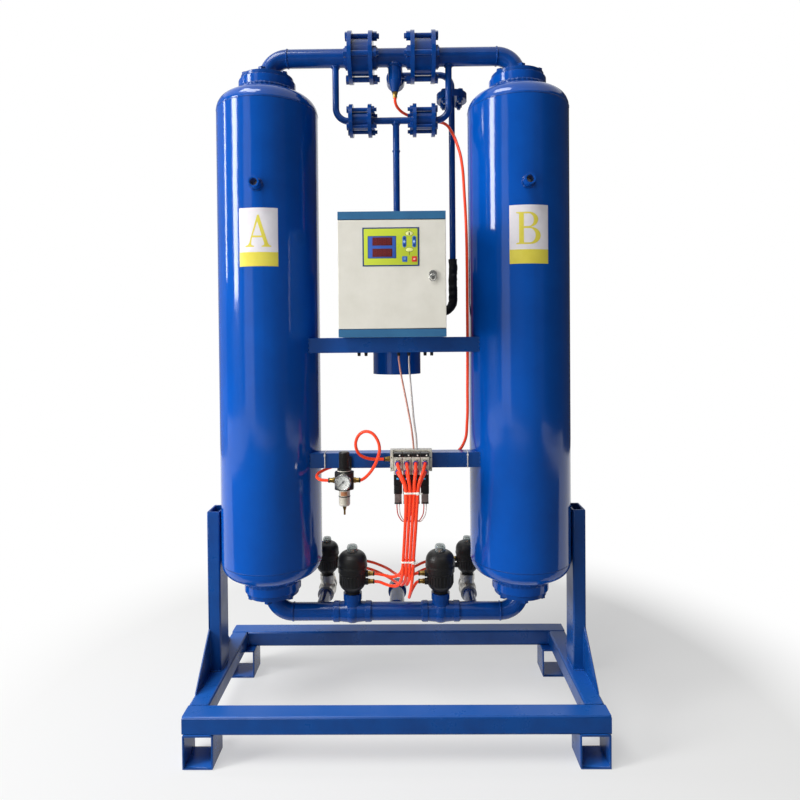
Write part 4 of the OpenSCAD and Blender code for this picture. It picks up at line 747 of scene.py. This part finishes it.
for side in (-1, 1):
    for runs in skidWelds:
        for ySide in (1,) if "uprightInner" in runs else (-1, 1):
            for start, end, bead in runs.values():
                ends = [(side * x * mm, ySide * y * mm, z * mm) for x, y, z in (start, end)]
                weldRun(skidBeads, *ends, bead)
    for bar in ("shelf_bar", "instrument_bar"):
        low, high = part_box(bar)
        for z in [low[2] + rise for rise in barWelds["above"]] + [high[2] - barWelds["below"]]:
            weldRing(skidBeads, (side * barWelds["x"] * mm, barWelds["y"] * mm, z), alongZ,
                     barWelds["radius"], barWelds["bead"])
addPiece("skidWelds", skidBeads, "skidEnamel")
print("weld beads laid")

# Control case: the printed panel in layers of ink
panel = {"field": (129.0, 87.0), "corner": 1.0, "step": 0.12, "film": 0.3, "edge": 0.08}
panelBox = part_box("membrane_panel")
panelMiddle = middle(panelBox)

# Each mark: outline kind, middle x and z, size, ink and layer, in mm about the panel's middle
panelMarks = [
    ("plate", 0, 0, panel["field"], "inkLime", 1),
    ("plate", -21.1, -0.8, (68.6, 53.8), "inkNavy", 2),
    ("plate", -21.1, -0.8, (66.0, 51.2), "inkBlue", 3),
    ("plate", -20.2, 13.0, (47.8, 19.8), "inkWindow", 4),
    ("plate", -20.2, -14.1, (47.8, 19.8), "inkWindow", 4),
    ("plate", 33.4, -29.7, (12.4, 13.4), "inkKeyBlue", 2),
    ("plate", 56.7, -29.7, (12.4, 13.4), "inkRed", 2),
    ("plate", 33.4, -29.7, (5.6, 1.4), "inkPaleBlue", 3),
    ("plate", 33.4, -27.0, (5.6, 1.0), "inkPaleBlue", 3),
    ("disc", 56.7, -29.7, (5.2, 5.2), "inkPink", 3),
    ("disc", 44.7, 31.6, (19.5, 12.6), "inkBlack", 2),
    ("disc", 44.7, 31.6, (17.9, 11.0), "inkPaleLime", 3),
    ("disc", 44.7, -7.2, (19.5, 11.4), "inkBlack", 2),
    ("disc", 44.7, -7.2, (17.9, 9.8), "inkPaleLime", 3),
    ("plate", 44.7, 31.0, (2.6, 6.4), "inkBlack", 4),
    ("disc", 41.2, 31.6, (3.0, 3.0), "inkWhite", 4),
    ("disc", 48.2, 31.6, (3.0, 3.0), "inkWhite", 4),
    ("plate", 44.7, -15.6, (0.9, 8.6), "inkBlack", 4),
    ("plate", 44.7, 39.6, (0.9, 5.0), "inkBlack", 4),
]
for pillX in (32.8, 56.4):
    panelMarks.append(("pill", pillX, 12.0, (9.2, 27.6), "inkKeyBlue", 5))
    for dotZ, dotInk in ((20.0, "inkNavy"), (12.0, "inkPaleBlue"), (4.0, "inkNavy")):
        panelMarks.append(("disc", pillX, dotZ, (5.4, 5.4), dotInk, 6))
# Unlit digits: three bars across and four upright for each place
digits = {"windows": (13.0, -14.1), "middle": -20.2, "places": 4, "pitch": 11.0, "bar": (4.6, 1.1),
          "acrossAt": (-6.2, 0, 6.2), "uprightAt": (-3.1, 3.1)}
for windowZ in digits["windows"]:
    for place in range(digits["places"]):
        digitX = digits["middle"] + (place - (digits["places"] - 1) / 2) * digits["pitch"]
        bars = [(0, z, digits["bar"]) for z in digits["acrossAt"]]
        bars += [(x, z, digits["bar"][::-1]) for x in digits["uprightAt"] for z in digits["uprightAt"]]
        for barX, barZ, bar in bars:
            panelMarks.append(("plate", digitX + barX, windowZ + barZ, bar, "inkSegment", 5))

sheets = {}
for kind, x, z, (w, h), ink, layer in panelMarks:
    if (ink, layer) not in sheets:
        sheets[ink, layer] = bmesh.new()
    if kind == "disc":
        outline = [(w / 2 * cos(radians(a)), h / 2 * sin(radians(a))) for a in range(0, 360, 10)]
    else:
        corner = min(w, h) / 2 if kind == "pill" else min(w / 4, h / 4, panel["corner"])
        outline = roundedOutline(w, h, corner)
    front = panelBox[0][1] - (layer * panel["step"] - panel["film"]) * mm
    standingPlate(sheets[ink, layer], outline, (panelMiddle.x + x * mm, front, panelMiddle.z + z * mm),
                  panel["film"], panel["edge"])
for (ink, layer), shape in sheets.items():
    addPiece("panel" + ink[3:] + str(layer), shape, ink, "door")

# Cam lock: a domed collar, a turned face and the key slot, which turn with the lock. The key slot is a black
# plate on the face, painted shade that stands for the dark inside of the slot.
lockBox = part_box("door_lock")
lockMiddle = middle(lockBox)
lockFront = (lockMiddle.x, lockBox[0][1], lockMiddle.z)
r = (lockBox[1][0] - lockBox[0][0]) / 2 / mm
lock = {
    "collar": [(r - 3.2, 0.1), (r - 2.8, 1.1), (r - 1.9, 1.5), (r - 0.8, 1.1), (r - 0.1, 0.1),
               (r - 0.1, -0.6), (r - 3.2, -0.6), (r - 3.2, 0.1)],
    "face": [(0, 0.5), (r - 5.2, 0.5), (r - 4.6, 0.2), (r - 4.4, -0.5), (0, -0.5)],
    "slot": (1.7, 8.0, 0.8),
    "slotDepth": 0.5,
    "slotLift": 0.2,
    "slotEdge": 0.1,
}
slotShadeShape = bmesh.new()
slotPlace = (lockFront[0], lockFront[1] - lock["slotLift"] * mm, lockFront[2])
standingPlate(slotShadeShape, roundedOutline(*lock["slot"]), slotPlace, lock["slotDepth"], lock["slotEdge"])
addTurned("lockCollar", [(lock[part], lockFront, facing) for part in ("collar", "face")], "chromePlate",
          "lock")
addPiece("keySlotShade", slotShadeShape, "blackAbs", "lock")

# Door seal: strips behind the sides of the door, and dark lips in the gaps under and over it, which are
# painted shade: they stand for the shadow in those gaps
seal = {"inset": 3.0, "width": 8.0, "depth": (0.05, 2.8), "edge": 1.0, "shadeLipInset": 0.5,
        "shadeLipDepth": (0.6, 5.4), "shadeLipEdge": 0.3, "gap": (0.3, 1.55)}
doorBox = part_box("control_door")
(left, doorFront, low), (right, doorBack, high) = [[c / mm for c in corner] for corner in doorBox]
strip = ([doorBack + depth for depth in seal["depth"]],
         (low + seal["inset"], high - seal["inset"]), seal["edge"])
shadeLip = (left + seal["shadeLipInset"], right - seal["shadeLipInset"]), [doorFront + depth for depth in seal["shadeLipDepth"]]
near, far = seal["gap"]
addBoxes("doorSeal", (0,), [
    ((left + seal["inset"], left + seal["inset"] + seal["width"]), *strip),
    ((right - seal["inset"] - seal["width"], right - seal["inset"]), *strip),
    (*shadeLip, (low - far, low - near), seal["shadeLipEdge"]),
    (*shadeLip, (high + near, high + far), seal["shadeLipEdge"]),
], "fibreGasket")
print("control case dressed")

# Pressure gauge: printed dial in a white cup, marks, figures, lens and rim
gauge = {
    "dial": [(1.4, 0), (17.3, 0), (17.3, 0.3), (1.4, 0.3), (1.4, 0)],
    "cup": [(17.2, 0.3), (17.3, 5.2), (17.45, 5.2), (17.45, 0.3), (17.2, 0.3)],
    "lens": [(0, 0.2), (10, 0.15), (17.2, 0), (17.2, -1.4), (0, -1.2)],
    "rim": [(17.0, -0.2), (17.4, 0.7), (18.4, 1.2), (19.6, 1.0), (20.3, 0.2), (20.3, -5.0), (19.9, -5.4),
            (19.9, -1.0), (17.2, -1.0), (17.0, -0.2)],
    "dialDepth": 6.0, "lensDepth": 0.4, "segments": 64,
    "zero": 225.0, "sweep": 270.0, "marks": 50, "top": 10,
    "longMark": (13.0, 0.3), "shortMark": (14.6, 0.14), "markEnd": 16.4, "markLift": 0.38,
    "figure": 4.2, "figureRadius": 10.4, "figureLift": 0.4,
}
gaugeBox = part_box("pressure_gauge")
gaugeMiddle = middle(gaugeBox)


# A place on the gauge's axis, this many mm behind its front
def gaugePlace(depth):
    return Vector((gaugeMiddle.x, gaugeBox[0][1] + depth * mm, gaugeMiddle.z))


# The way from the gauge's middle to a share of its sweep
def gaugeWay(share):
    a = radians(gauge["zero"] - gauge["sweep"] * share)
    return Vector((cos(a), 0, sin(a)))


addTurned("gaugeDial", [(gauge[part], gaugePlace(gauge["dialDepth"]), facing, gauge["segments"])
                        for part in ("dial", "cup")], "inkDial")
markShape = bmesh.new()
for k in range(gauge["marks"] + 1):
    inner, half = gauge["longMark" if k % 5 == 0 else "shortMark"]
    along = gaugeWay(k / gauge["marks"])
    across = Vector((-along.z, 0, along.x)) * half
    near, far = along * inner, along * gauge["markEnd"]
    base = gaugePlace(gauge["dialDepth"] - gauge["markLift"])
    markShape.faces.new([markShape.verts.new(base + corner * mm) for corner in
                         (near - across, far - across, far + across, near + across)])
addPiece("gaugeMarks", markShape, "inkBlack", smooth=False)


# Figures as meshes from the built-in letters, standing on a plane that faces -Y
def figures(shape, text, size, place):
    curve = bpy.data.curves.new("figure", "FONT")
    curve.body = text
    curve.size = size * mm
    curve.align_x = "CENTER"
    curve.align_y = "CENTER"
    holder = bpy.data.objects.new("figure", curve)
    scene.collection.objects.link(holder)
    bpy.context.view_layer.update()
    mesh = holder.evaluated_get(bpy.context.evaluated_depsgraph_get()).to_mesh()
    part = bmesh.new()
    part.from_mesh(mesh)
    for vert in part.verts:
        vert.co = place + Vector((vert.co.x, 0, vert.co.y))
    joinInto(shape, part)
    bpy.data.objects.remove(holder)
    bpy.data.curves.remove(curve)


figureShape = bmesh.new()
for k in range(0, gauge["top"] + 1, 2):
    figures(figureShape, str(k), gauge["figure"], gaugePlace(gauge["dialDepth"] - gauge["figureLift"])
            + gaugeWay(k / gauge["top"]) * gauge["figureRadius"] * mm)
addPiece("gaugeFigures", figureShape, "inkBlack", smooth=False)
addTurned("gaugeLens", [(gauge["lens"], gaugePlace(gauge["lensDepth"]), facing, gauge["segments"])],
          "gaugeGlass")
addTurned("gaugeRim", [(gauge["rim"], gaugePlace(0), facing, gauge["segments"])], "chromePlate")

# Filter regulator: clamp ring under the knob, band and sight window on the bowl
bowl = {
    "ring": [(17.0, 0), (18.6, 0), (18.9, 0.3), (18.9, 1.7), (18.6, 2.0), (17.0, 2.0)],
    "ringZ": 692.5,
    "band": [(14.0, 0), (15.0, 0.3), (15.2, 1.0), (15.2, 2.0), (15.0, 2.7), (14.0, 3.0)],
    "bandZ": 626.0,
    "window": [(13.9, 630), (14.75, 630.6), (14.95, 631.6), (14.95, 639.4), (14.75, 640.4), (13.9, 641)],
    "windowTurn": 34,  # degrees to each side
    "columns": 12,
}
bowlMiddle = middle(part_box("filter_bowl"))
addTurned("regulatorRing", [(bowl["ring"], (bowlMiddle.x, bowlMiddle.y, bowl["ringZ"] * mm), alongZ)],
          "anodisedAluminium")
addTurned("bowlBand", [(bowl["band"], (bowlMiddle.x, bowlMiddle.y, bowl["bandZ"] * mm), alongZ)], "blackAbs")
windowShape = bmesh.new()
windowAngles = [radians(bowl["windowTurn"] * (2 * k / bowl["columns"] - 1))
                for k in range(bowl["columns"] + 1)]
skin(windowShape, [[(bowlMiddle.x + r * sin(a) * mm, bowlMiddle.y - r * cos(a) * mm, z * mm)
                    for a in windowAngles] for r, z in bowl["window"]], around=False)
addPiece("sightWindow", windowShape, "amberSightGlass")
print("air set dressed")

# Collars that release the tubes, one at the mouth of each brass fitting: mouth in mm, and the way it points
collars = {
    "profile": [(4.15, 0.05), (6.2, 0.05), (6.5, 0.5), (6.5, 2.4), (5.8, 3.4), (4.15, 3.6), (4.15, 0.05)],
    "mouths": [((-168, -112, 668), -1), ((-92, -112, 668), 1), ((-25.5, -81, 716), -1)]
    + [((side * x, y, z), -side) for side in (-1, 1)
       for x, y, heights in ((64.5, 0, (359, 381)), (161, 150, (346.5, 365))) for z in heights],
}
addTurned("fittingCollars", [(collars["profile"], Vector(mouth) * mm, (way, 0, 0), 32)
                             for mouth, way in collars["mouths"]], "blackAbs")

# Solenoid bank: black end caps, override buttons, release rings, light pipes, coil shells, plugs and boots.
# The boxes are ranges of x about each coil's middle, of y and of z, and the edge.
bank = {
    "caps": [((-10.55, 10.55), (-124.6, -96), (728.8, 738.6), 1.0)],
    "button": [(0, 0.6), (1.6, 0.6), (2.0, 0.2), (2.0, -1.0)],
    "buttonPlace": (5, -124.6, 733.4),
    "ring": [(4.5, 20.6), (6.2, 20.6), (6.7, 20.0), (6.7, 16.6), (6.2, 16.0), (4.5, 16.0), (4.5, 20.6)],
    "rows": (716.0, 694.0),
    "front": -124.0,
    "lights": [((-3.6, 2.4), (-123.6, -120), (671, 675.5), 0.6)],
    "plugs": [((-10.7, 10.7), (-122.8, -106), (656, 683.6), 1.0),
              ((-10.5, 10.5), (-123.6, -108), (634, 655), 1.2),
              ((-9.4, 9.4), (-122.9, -109.6), (608, 612), 0.8)],
    "boots": [((-9.0, 9.0), (-122.5, -110), (610, 635), 1.0)],
}
buttonX, buttonY, buttonZ = bank["buttonPlace"]
addBoxes("valveCaps", coilMiddles, bank["caps"], "blackAbs")
addTurned("overrideButtons", [(bank["button"], ((x + buttonX) * mm, buttonY * mm, buttonZ * mm), facing, 20)
                              for x in coilMiddles], "naturalNylon")
addTurned("releaseRings", [(bank["ring"], (x * mm, bank["front"] * mm, z * mm), facing, 32)
                           for x in coilMiddles for z in bank["rows"]], "violetAcetal")
addBoxes("coilLights", coilMiddles, bank["lights"], "lightPipeBlue")
addBoxes("coilPlugs", coilMiddles, bank["plugs"], "blackAbs")
addBoxes("plugBoots", coilMiddles, bank["boots"], "plugGreyNylon")

# Cable ties round the tube bundle: a strap that hugs the outer tubes, with its head and cut tail
ties = {"width": 4.6, "thick": 1.3, "reach": 4.9, "sink": 0.7,
        "section": ((0, -0.5), (1, -0.42), (1, 0.42), (0, 0.5)),  # share of the thickness and of the width
        # The head and the tail: ranges from the right end, the strap's front and its height, and the edge
        "boxes": [((-4, 3), (-4.4, 0.4), (-3.6, 3.6), 0.8), ((2, 11), (-3.0, -1.8), (-2.0, 2.0), 0.4)],
        "places": [{"z": 650.0, "x": (28.5, 58.5), "y": (-175.5, -165.5)},
                   {"z": 458.0, "x": (20.0, 46.4), "y": (-120.0, -110.0)}]}


def cableTie(shape, tie):
    (x0, x1), (y0, y1), z = tie["x"], tie["y"], tie["z"]
    rings = []
    for cx, cy, start in ((x1, y1, 0), (x0, y1, 90), (x0, y0, 180), (x1, y0, 270)):
        for k in range(7):
            a = radians(start + 15 * k)
            radii = [ties["reach"] - ties["sink"] + out * ties["thick"] for out, rise in ties["section"]]
            rings.append([Vector((cx + cos(a) * r, cy + sin(a) * r, z + rise * ties["width"])) * mm
                          for r, (out, rise) in zip(radii, ties["section"])])
    skin(shape, rings, along=True)
    front = y0 - ties["reach"]
    for *ranges, edge in ties["boxes"]:
        corners = zip(*[(start + near, start + far) for start, (near, far) in zip((x1, front, z), ranges)])
        softBox(shape, *corners, edge)


for k, tie in enumerate(ties["places"]):
    tieShape = bmesh.new()
    cableTie(tieShape, tie)
    addPiece("bundleTie%d" % (k + 1), tieShape, "naturalNylon")
print("valve bank and ties dressed")

# Valve actuators: moulded ribs round the waist and a clamp band on the joint of housing and lid
actuators = {
    "places": ((-122, 0, 1.0), (122, 0, 1.0), (-212, 150, 0.85), (212, 150, 0.85)),  # x, y and scale
    "waist": 35.0, "ribs": 26, "ribHeight": 2.0,
    "ribEnds": ((77.0, 0), (80.0, 1), (105.0, 1), (108.0, 0)),  # height, and whether the rib stands out there
    "section": ((-2.3, -0.6), (-1.4, 0.7), (0, 1.0), (1.4, 0.7), (2.3, -0.6)),
    "sunk": -0.6, "bandZ": 128.0, "bandRadius": 40.4,
    "band": [(-1, -3.2), (0.7, -2.8), (1.0, -2.2), (1.0, -0.5), (0.3, 0), (1.0, 0.5), (1.0, 2.2), (0.7, 2.8),
             (-1, 3.2), (-1, -3.2)],
}
ribShape, bands = bmesh.new(), []
for x, y, share in actuators["places"]:
    base = Vector((x, y, lowerLine))
    for k in range(actuators["ribs"]):
        a = 2 * pi * (k + 0.5) / actuators["ribs"]
        out, side = Vector((cos(a), sin(a), 0)), Vector((-sin(a), cos(a), 0))
        rings = []
        for z, tall in actuators["ribEnds"]:
            rings.append([])
            for across, rise in actuators["section"]:
                lift = actuators["ribHeight"] * (rise if tall else actuators["sunk"])
                local = out * (actuators["waist"] + lift) + side * across + Vector((0, 0, z))
                rings[-1].append((base + local * share) * mm)
        skin(ribShape, rings, around=False)
    r = actuators["bandRadius"] * share
    bands.append(([(r + out, rise) for out, rise in actuators["band"]],
                  (base + Vector((0, 0, actuators["bandZ"] * share))) * mm, alongZ, 64))
addPiece("actuatorRibs", ribShape, "blackNylon")
addTurned("actuatorBands", bands, "blackNylon")

# Foam on the feed pipe: a sleeve with lumps and creases, down the pipe, round its bend and in behind the case
foam = {"x": 172.0, "y": 110.0, "top": 1265.0, "bend": 36.0, "bendSteps": 24, "endZ": 1110.0, "radius": 12.6,
        "lump": 2.2, "lumpSize": 11, "crease": 0.8, "creaseScale": 3.1, "sides": 28, "step": 2.5}
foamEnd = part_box("pipe_insulation")[0][0] / mm
line = []  # places x and z, and the way on
z = foam["top"]
while z > foam["endZ"] + foam["bend"]:
    line.append(((foam["x"], z), (0, -1)))
    z -= foam["step"]
for k in range(foam["bendSteps"] + 1):
    a = radians(90 * k / foam["bendSteps"])
    place = foam["x"] - foam["bend"] * (1 - cos(a)), foam["endZ"] + foam["bend"] * (1 - sin(a))
    line.append((place, (-sin(a), -cos(a))))
x = foam["x"] - foam["bend"]
while x > foamEnd + foam["step"]:
    x -= foam["step"]
    line.append(((max(x, foamEnd), foam["endZ"]), (-1, 0)))
rings = []
for (x, z), (dx, dz) in line:
    rings.append([])
    for a in evenAngles(foam["sides"]):
        place = Vector((x, z, 0)) / foam["lumpSize"] + Vector((cos(a), sin(a), 0)) * 1.1
        r = (foam["radius"] + foam["lump"] * noise.noise(place)
             + foam["crease"] * noise.noise(place * foam["creaseScale"]))
        rings[-1].append(Vector((x - dz * cos(a) * r, foam["y"] + sin(a) * r, z + dx * cos(a) * r)) * mm)
foamShape = bmesh.new()
skin(foamShape, rings, ends=True)
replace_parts(addPiece("pipeFoamSleeve", foamShape, "pipeFoam"), "pipe_insulation")

# Ties round the instrument bar that hold the supply tube: strap in front and on top, head, and hanging tail
barTies = {"x": (-186.0, 193.0), "boxes": [
    ((-1.3, 1.3), (-71, -69.9), (689, 731), 0.4), ((-1.3, 1.3), (-71, -36), (730, 731), 0.4),
    ((-2.3, 2.3), (-74.4, -70.6), (722, 727), 0.7), ((-0.9, 0.9), (-73.6, -72.7), (696, 725), 0.3)]}
addBoxes("barTies", barTies["x"], barTies["boxes"], "naturalNylon")
print("actuators, foam and bar ties dressed")

# Studio: pale floor that runs out into white, a tall strip light, an edge light and a side light on the left,
# a top light and a front fill. Dark cloths stand all round and lie in front, and only mirrors see them, so
# that the gloss paint stays deep.
studio = {"floor": "#ececea", "floorSize": 40.0, "near": 0.55, "far": 1.5, "glow": 0.52, "ambient": 0.06}
cloths = {  # place, aim, size and level
    "frontCloth": ((1.2, -4.6, 2.0), (0, 0, 1.2), (8.5, 5.0), 0.11),
    "rightCloth": ((4.6, -1.2, 2.0), (0, -0.5, 1.2), (6.0, 5.0), 0.05),
    "leftCloth": ((-6.4, -1.4, 2.4), (0, -0.4, 1.2), (8.6, 7.0), 0.1),
    "backRightCloth": ((3.2, 2.4, 1.6), (0, 0, 1.2), (4.5, 5.0), 0.06),
    "backLeftCloth": ((-3.2, 2.4, 1.6), (0, 0, 1.2), (4.5, 5.0), 0.3),
    "floorCloth": ((0, -2.45, 0.002), (0, -2.45, 1.0), (7.0, 4.4), 0.1),
}
lamps = {  # place, aim, size, watts, and whether mirrors see it
    "stripLight": ((-4.04, -1.76, 2.56), (-0.2, 0, 1.2), (0.88, 2.4), 112, True),
    "edgeLight": ((-2.9, 0.2, 2.1), (-0.2, 0, 1.3), (0.16, 1.3), 9, True),
    "sideLight": ((-4.52, -1.92, 1.1), (-0.2, 0, 0.9), (1.9, 1.9), 128, False),
    "topLight": ((-2.64, -2.42, 6.64), (0, 0, 0.7), (3.5, 2.0), 245, True),
    "frontFill": ((-0.8, -3.3, 1.0), (0, 0, 0.55), (2.2, 1.8), 14, False),
}
white = (1, 1, 1, 1)


def lookAt(holder, place, aim):
    holder.location = place
    holder.rotation_euler = (Vector(aim) - Vector(place)).to_track_quat("-Z", "Y").to_euler()
    scene.collection.objects.link(holder)


# One when the ray comes from the camera, a mirror or a clear piece
def seenDirectly(tree):
    rays = addNode(tree, "LightPath", {}).outputs
    seen = addNode(tree, "Math", {0: rays["Is Camera Ray"], 1: rays["Is Glossy Ray"]},
                   operation="MAXIMUM")
    return addNode(tree, "Math", {0: seen.outputs[0], 1: rays["Is Transmission Ray"]},
                   operation="MAXIMUM").outputs[0]


def stagePlane(name, width, depth, material):
    shape = bmesh.new()
    bmesh.ops.create_grid(shape, x_segments=1, y_segments=1, size=0.5)
    bmesh.ops.scale(shape, vec=(width, depth, 1), verts=shape.verts[:])
    mesh = bpy.data.meshes.new(name)
    shape.to_mesh(mesh)
    shape.free()
    mesh.materials.append(material)
    plane = bpy.data.objects.new(name, mesh)
    return plane


floorMaterial = bpy.data.materials.new("paleFloor")
tree = emptyTree(floorMaterial)
floorPlace = addNode(tree, "TexCoord", {}).outputs["Object"]
away = addNode(tree, "VectorMath", {0: floorPlace}, operation="LENGTH").outputs["Value"]
fade = addNode(tree, "MapRange", {
    "Value": away, "From Min": studio["near"], "From Max": studio["far"]}, interpolation_type="SMOOTHSTEP")
glow = addNode(tree, "Math", {0: fade.outputs["Result"], 1: studio["glow"]}, operation="MAXIMUM")
share = addNode(tree, "Math", {0: glow.outputs[0], 1: seenDirectly(tree)}, operation="MULTIPLY")
lit = addNode(tree, "BsdfDiffuse", {"Color": linear(studio["floor"])})
plain = addNode(tree, "Emission", {"Color": white, "Strength": 1.0})
mixed = addNode(tree, "MixShader", {0: share.outputs[0], 1: lit.outputs[0], 2: plain.outputs[0]})
addNode(tree, "OutputMaterial", {"Surface": mixed.outputs[0]})
floorPlane = stagePlane("floor", studio["floorSize"], studio["floorSize"], floorMaterial)
floorPlane.location.z = -0.5 * mm
scene.collection.objects.link(floorPlane)

for name, (place, aim, size, level) in cloths.items():
    clothMaterial = bpy.data.materials.new(name)
    tree = emptyTree(clothMaterial)
    dim = addNode(tree, "Emission", {"Color": white, "Strength": level})
    addNode(tree, "OutputMaterial", {"Surface": dim.outputs[0]})
    holder = stagePlane(name, *size, clothMaterial)
    lookAt(holder, place, aim)
    for ray in ("camera", "diffuse", "shadow", "transmission"):
        setattr(holder, "visible_" + ray, False)

scene.world = bpy.data.worlds.new("studioWorld")
tree = emptyTree(scene.world)
soft = addNode(tree, "Background", {"Color": white, "Strength": studio["ambient"]})
backdrop = addNode(tree, "Background", {"Color": white, "Strength": 1.0})
both = addNode(tree, "MixShader", {0: seenDirectly(tree), 1: soft.outputs[0], 2: backdrop.outputs[0]})
addNode(tree, "OutputWorld", {"Surface": both.outputs[0]})

for name, (place, aim, size, watts, mirrored) in lamps.items():
    light = bpy.data.lights.new(name, "AREA")
    light.shape = "RECTANGLE"
    light.size, light.size_y = size
    light.energy = watts
    holder = bpy.data.objects.new(name, light)
    lookAt(holder, place, aim)
    holder.visible_camera = False
    holder.visible_glossy = mirrored
print("studio lit")
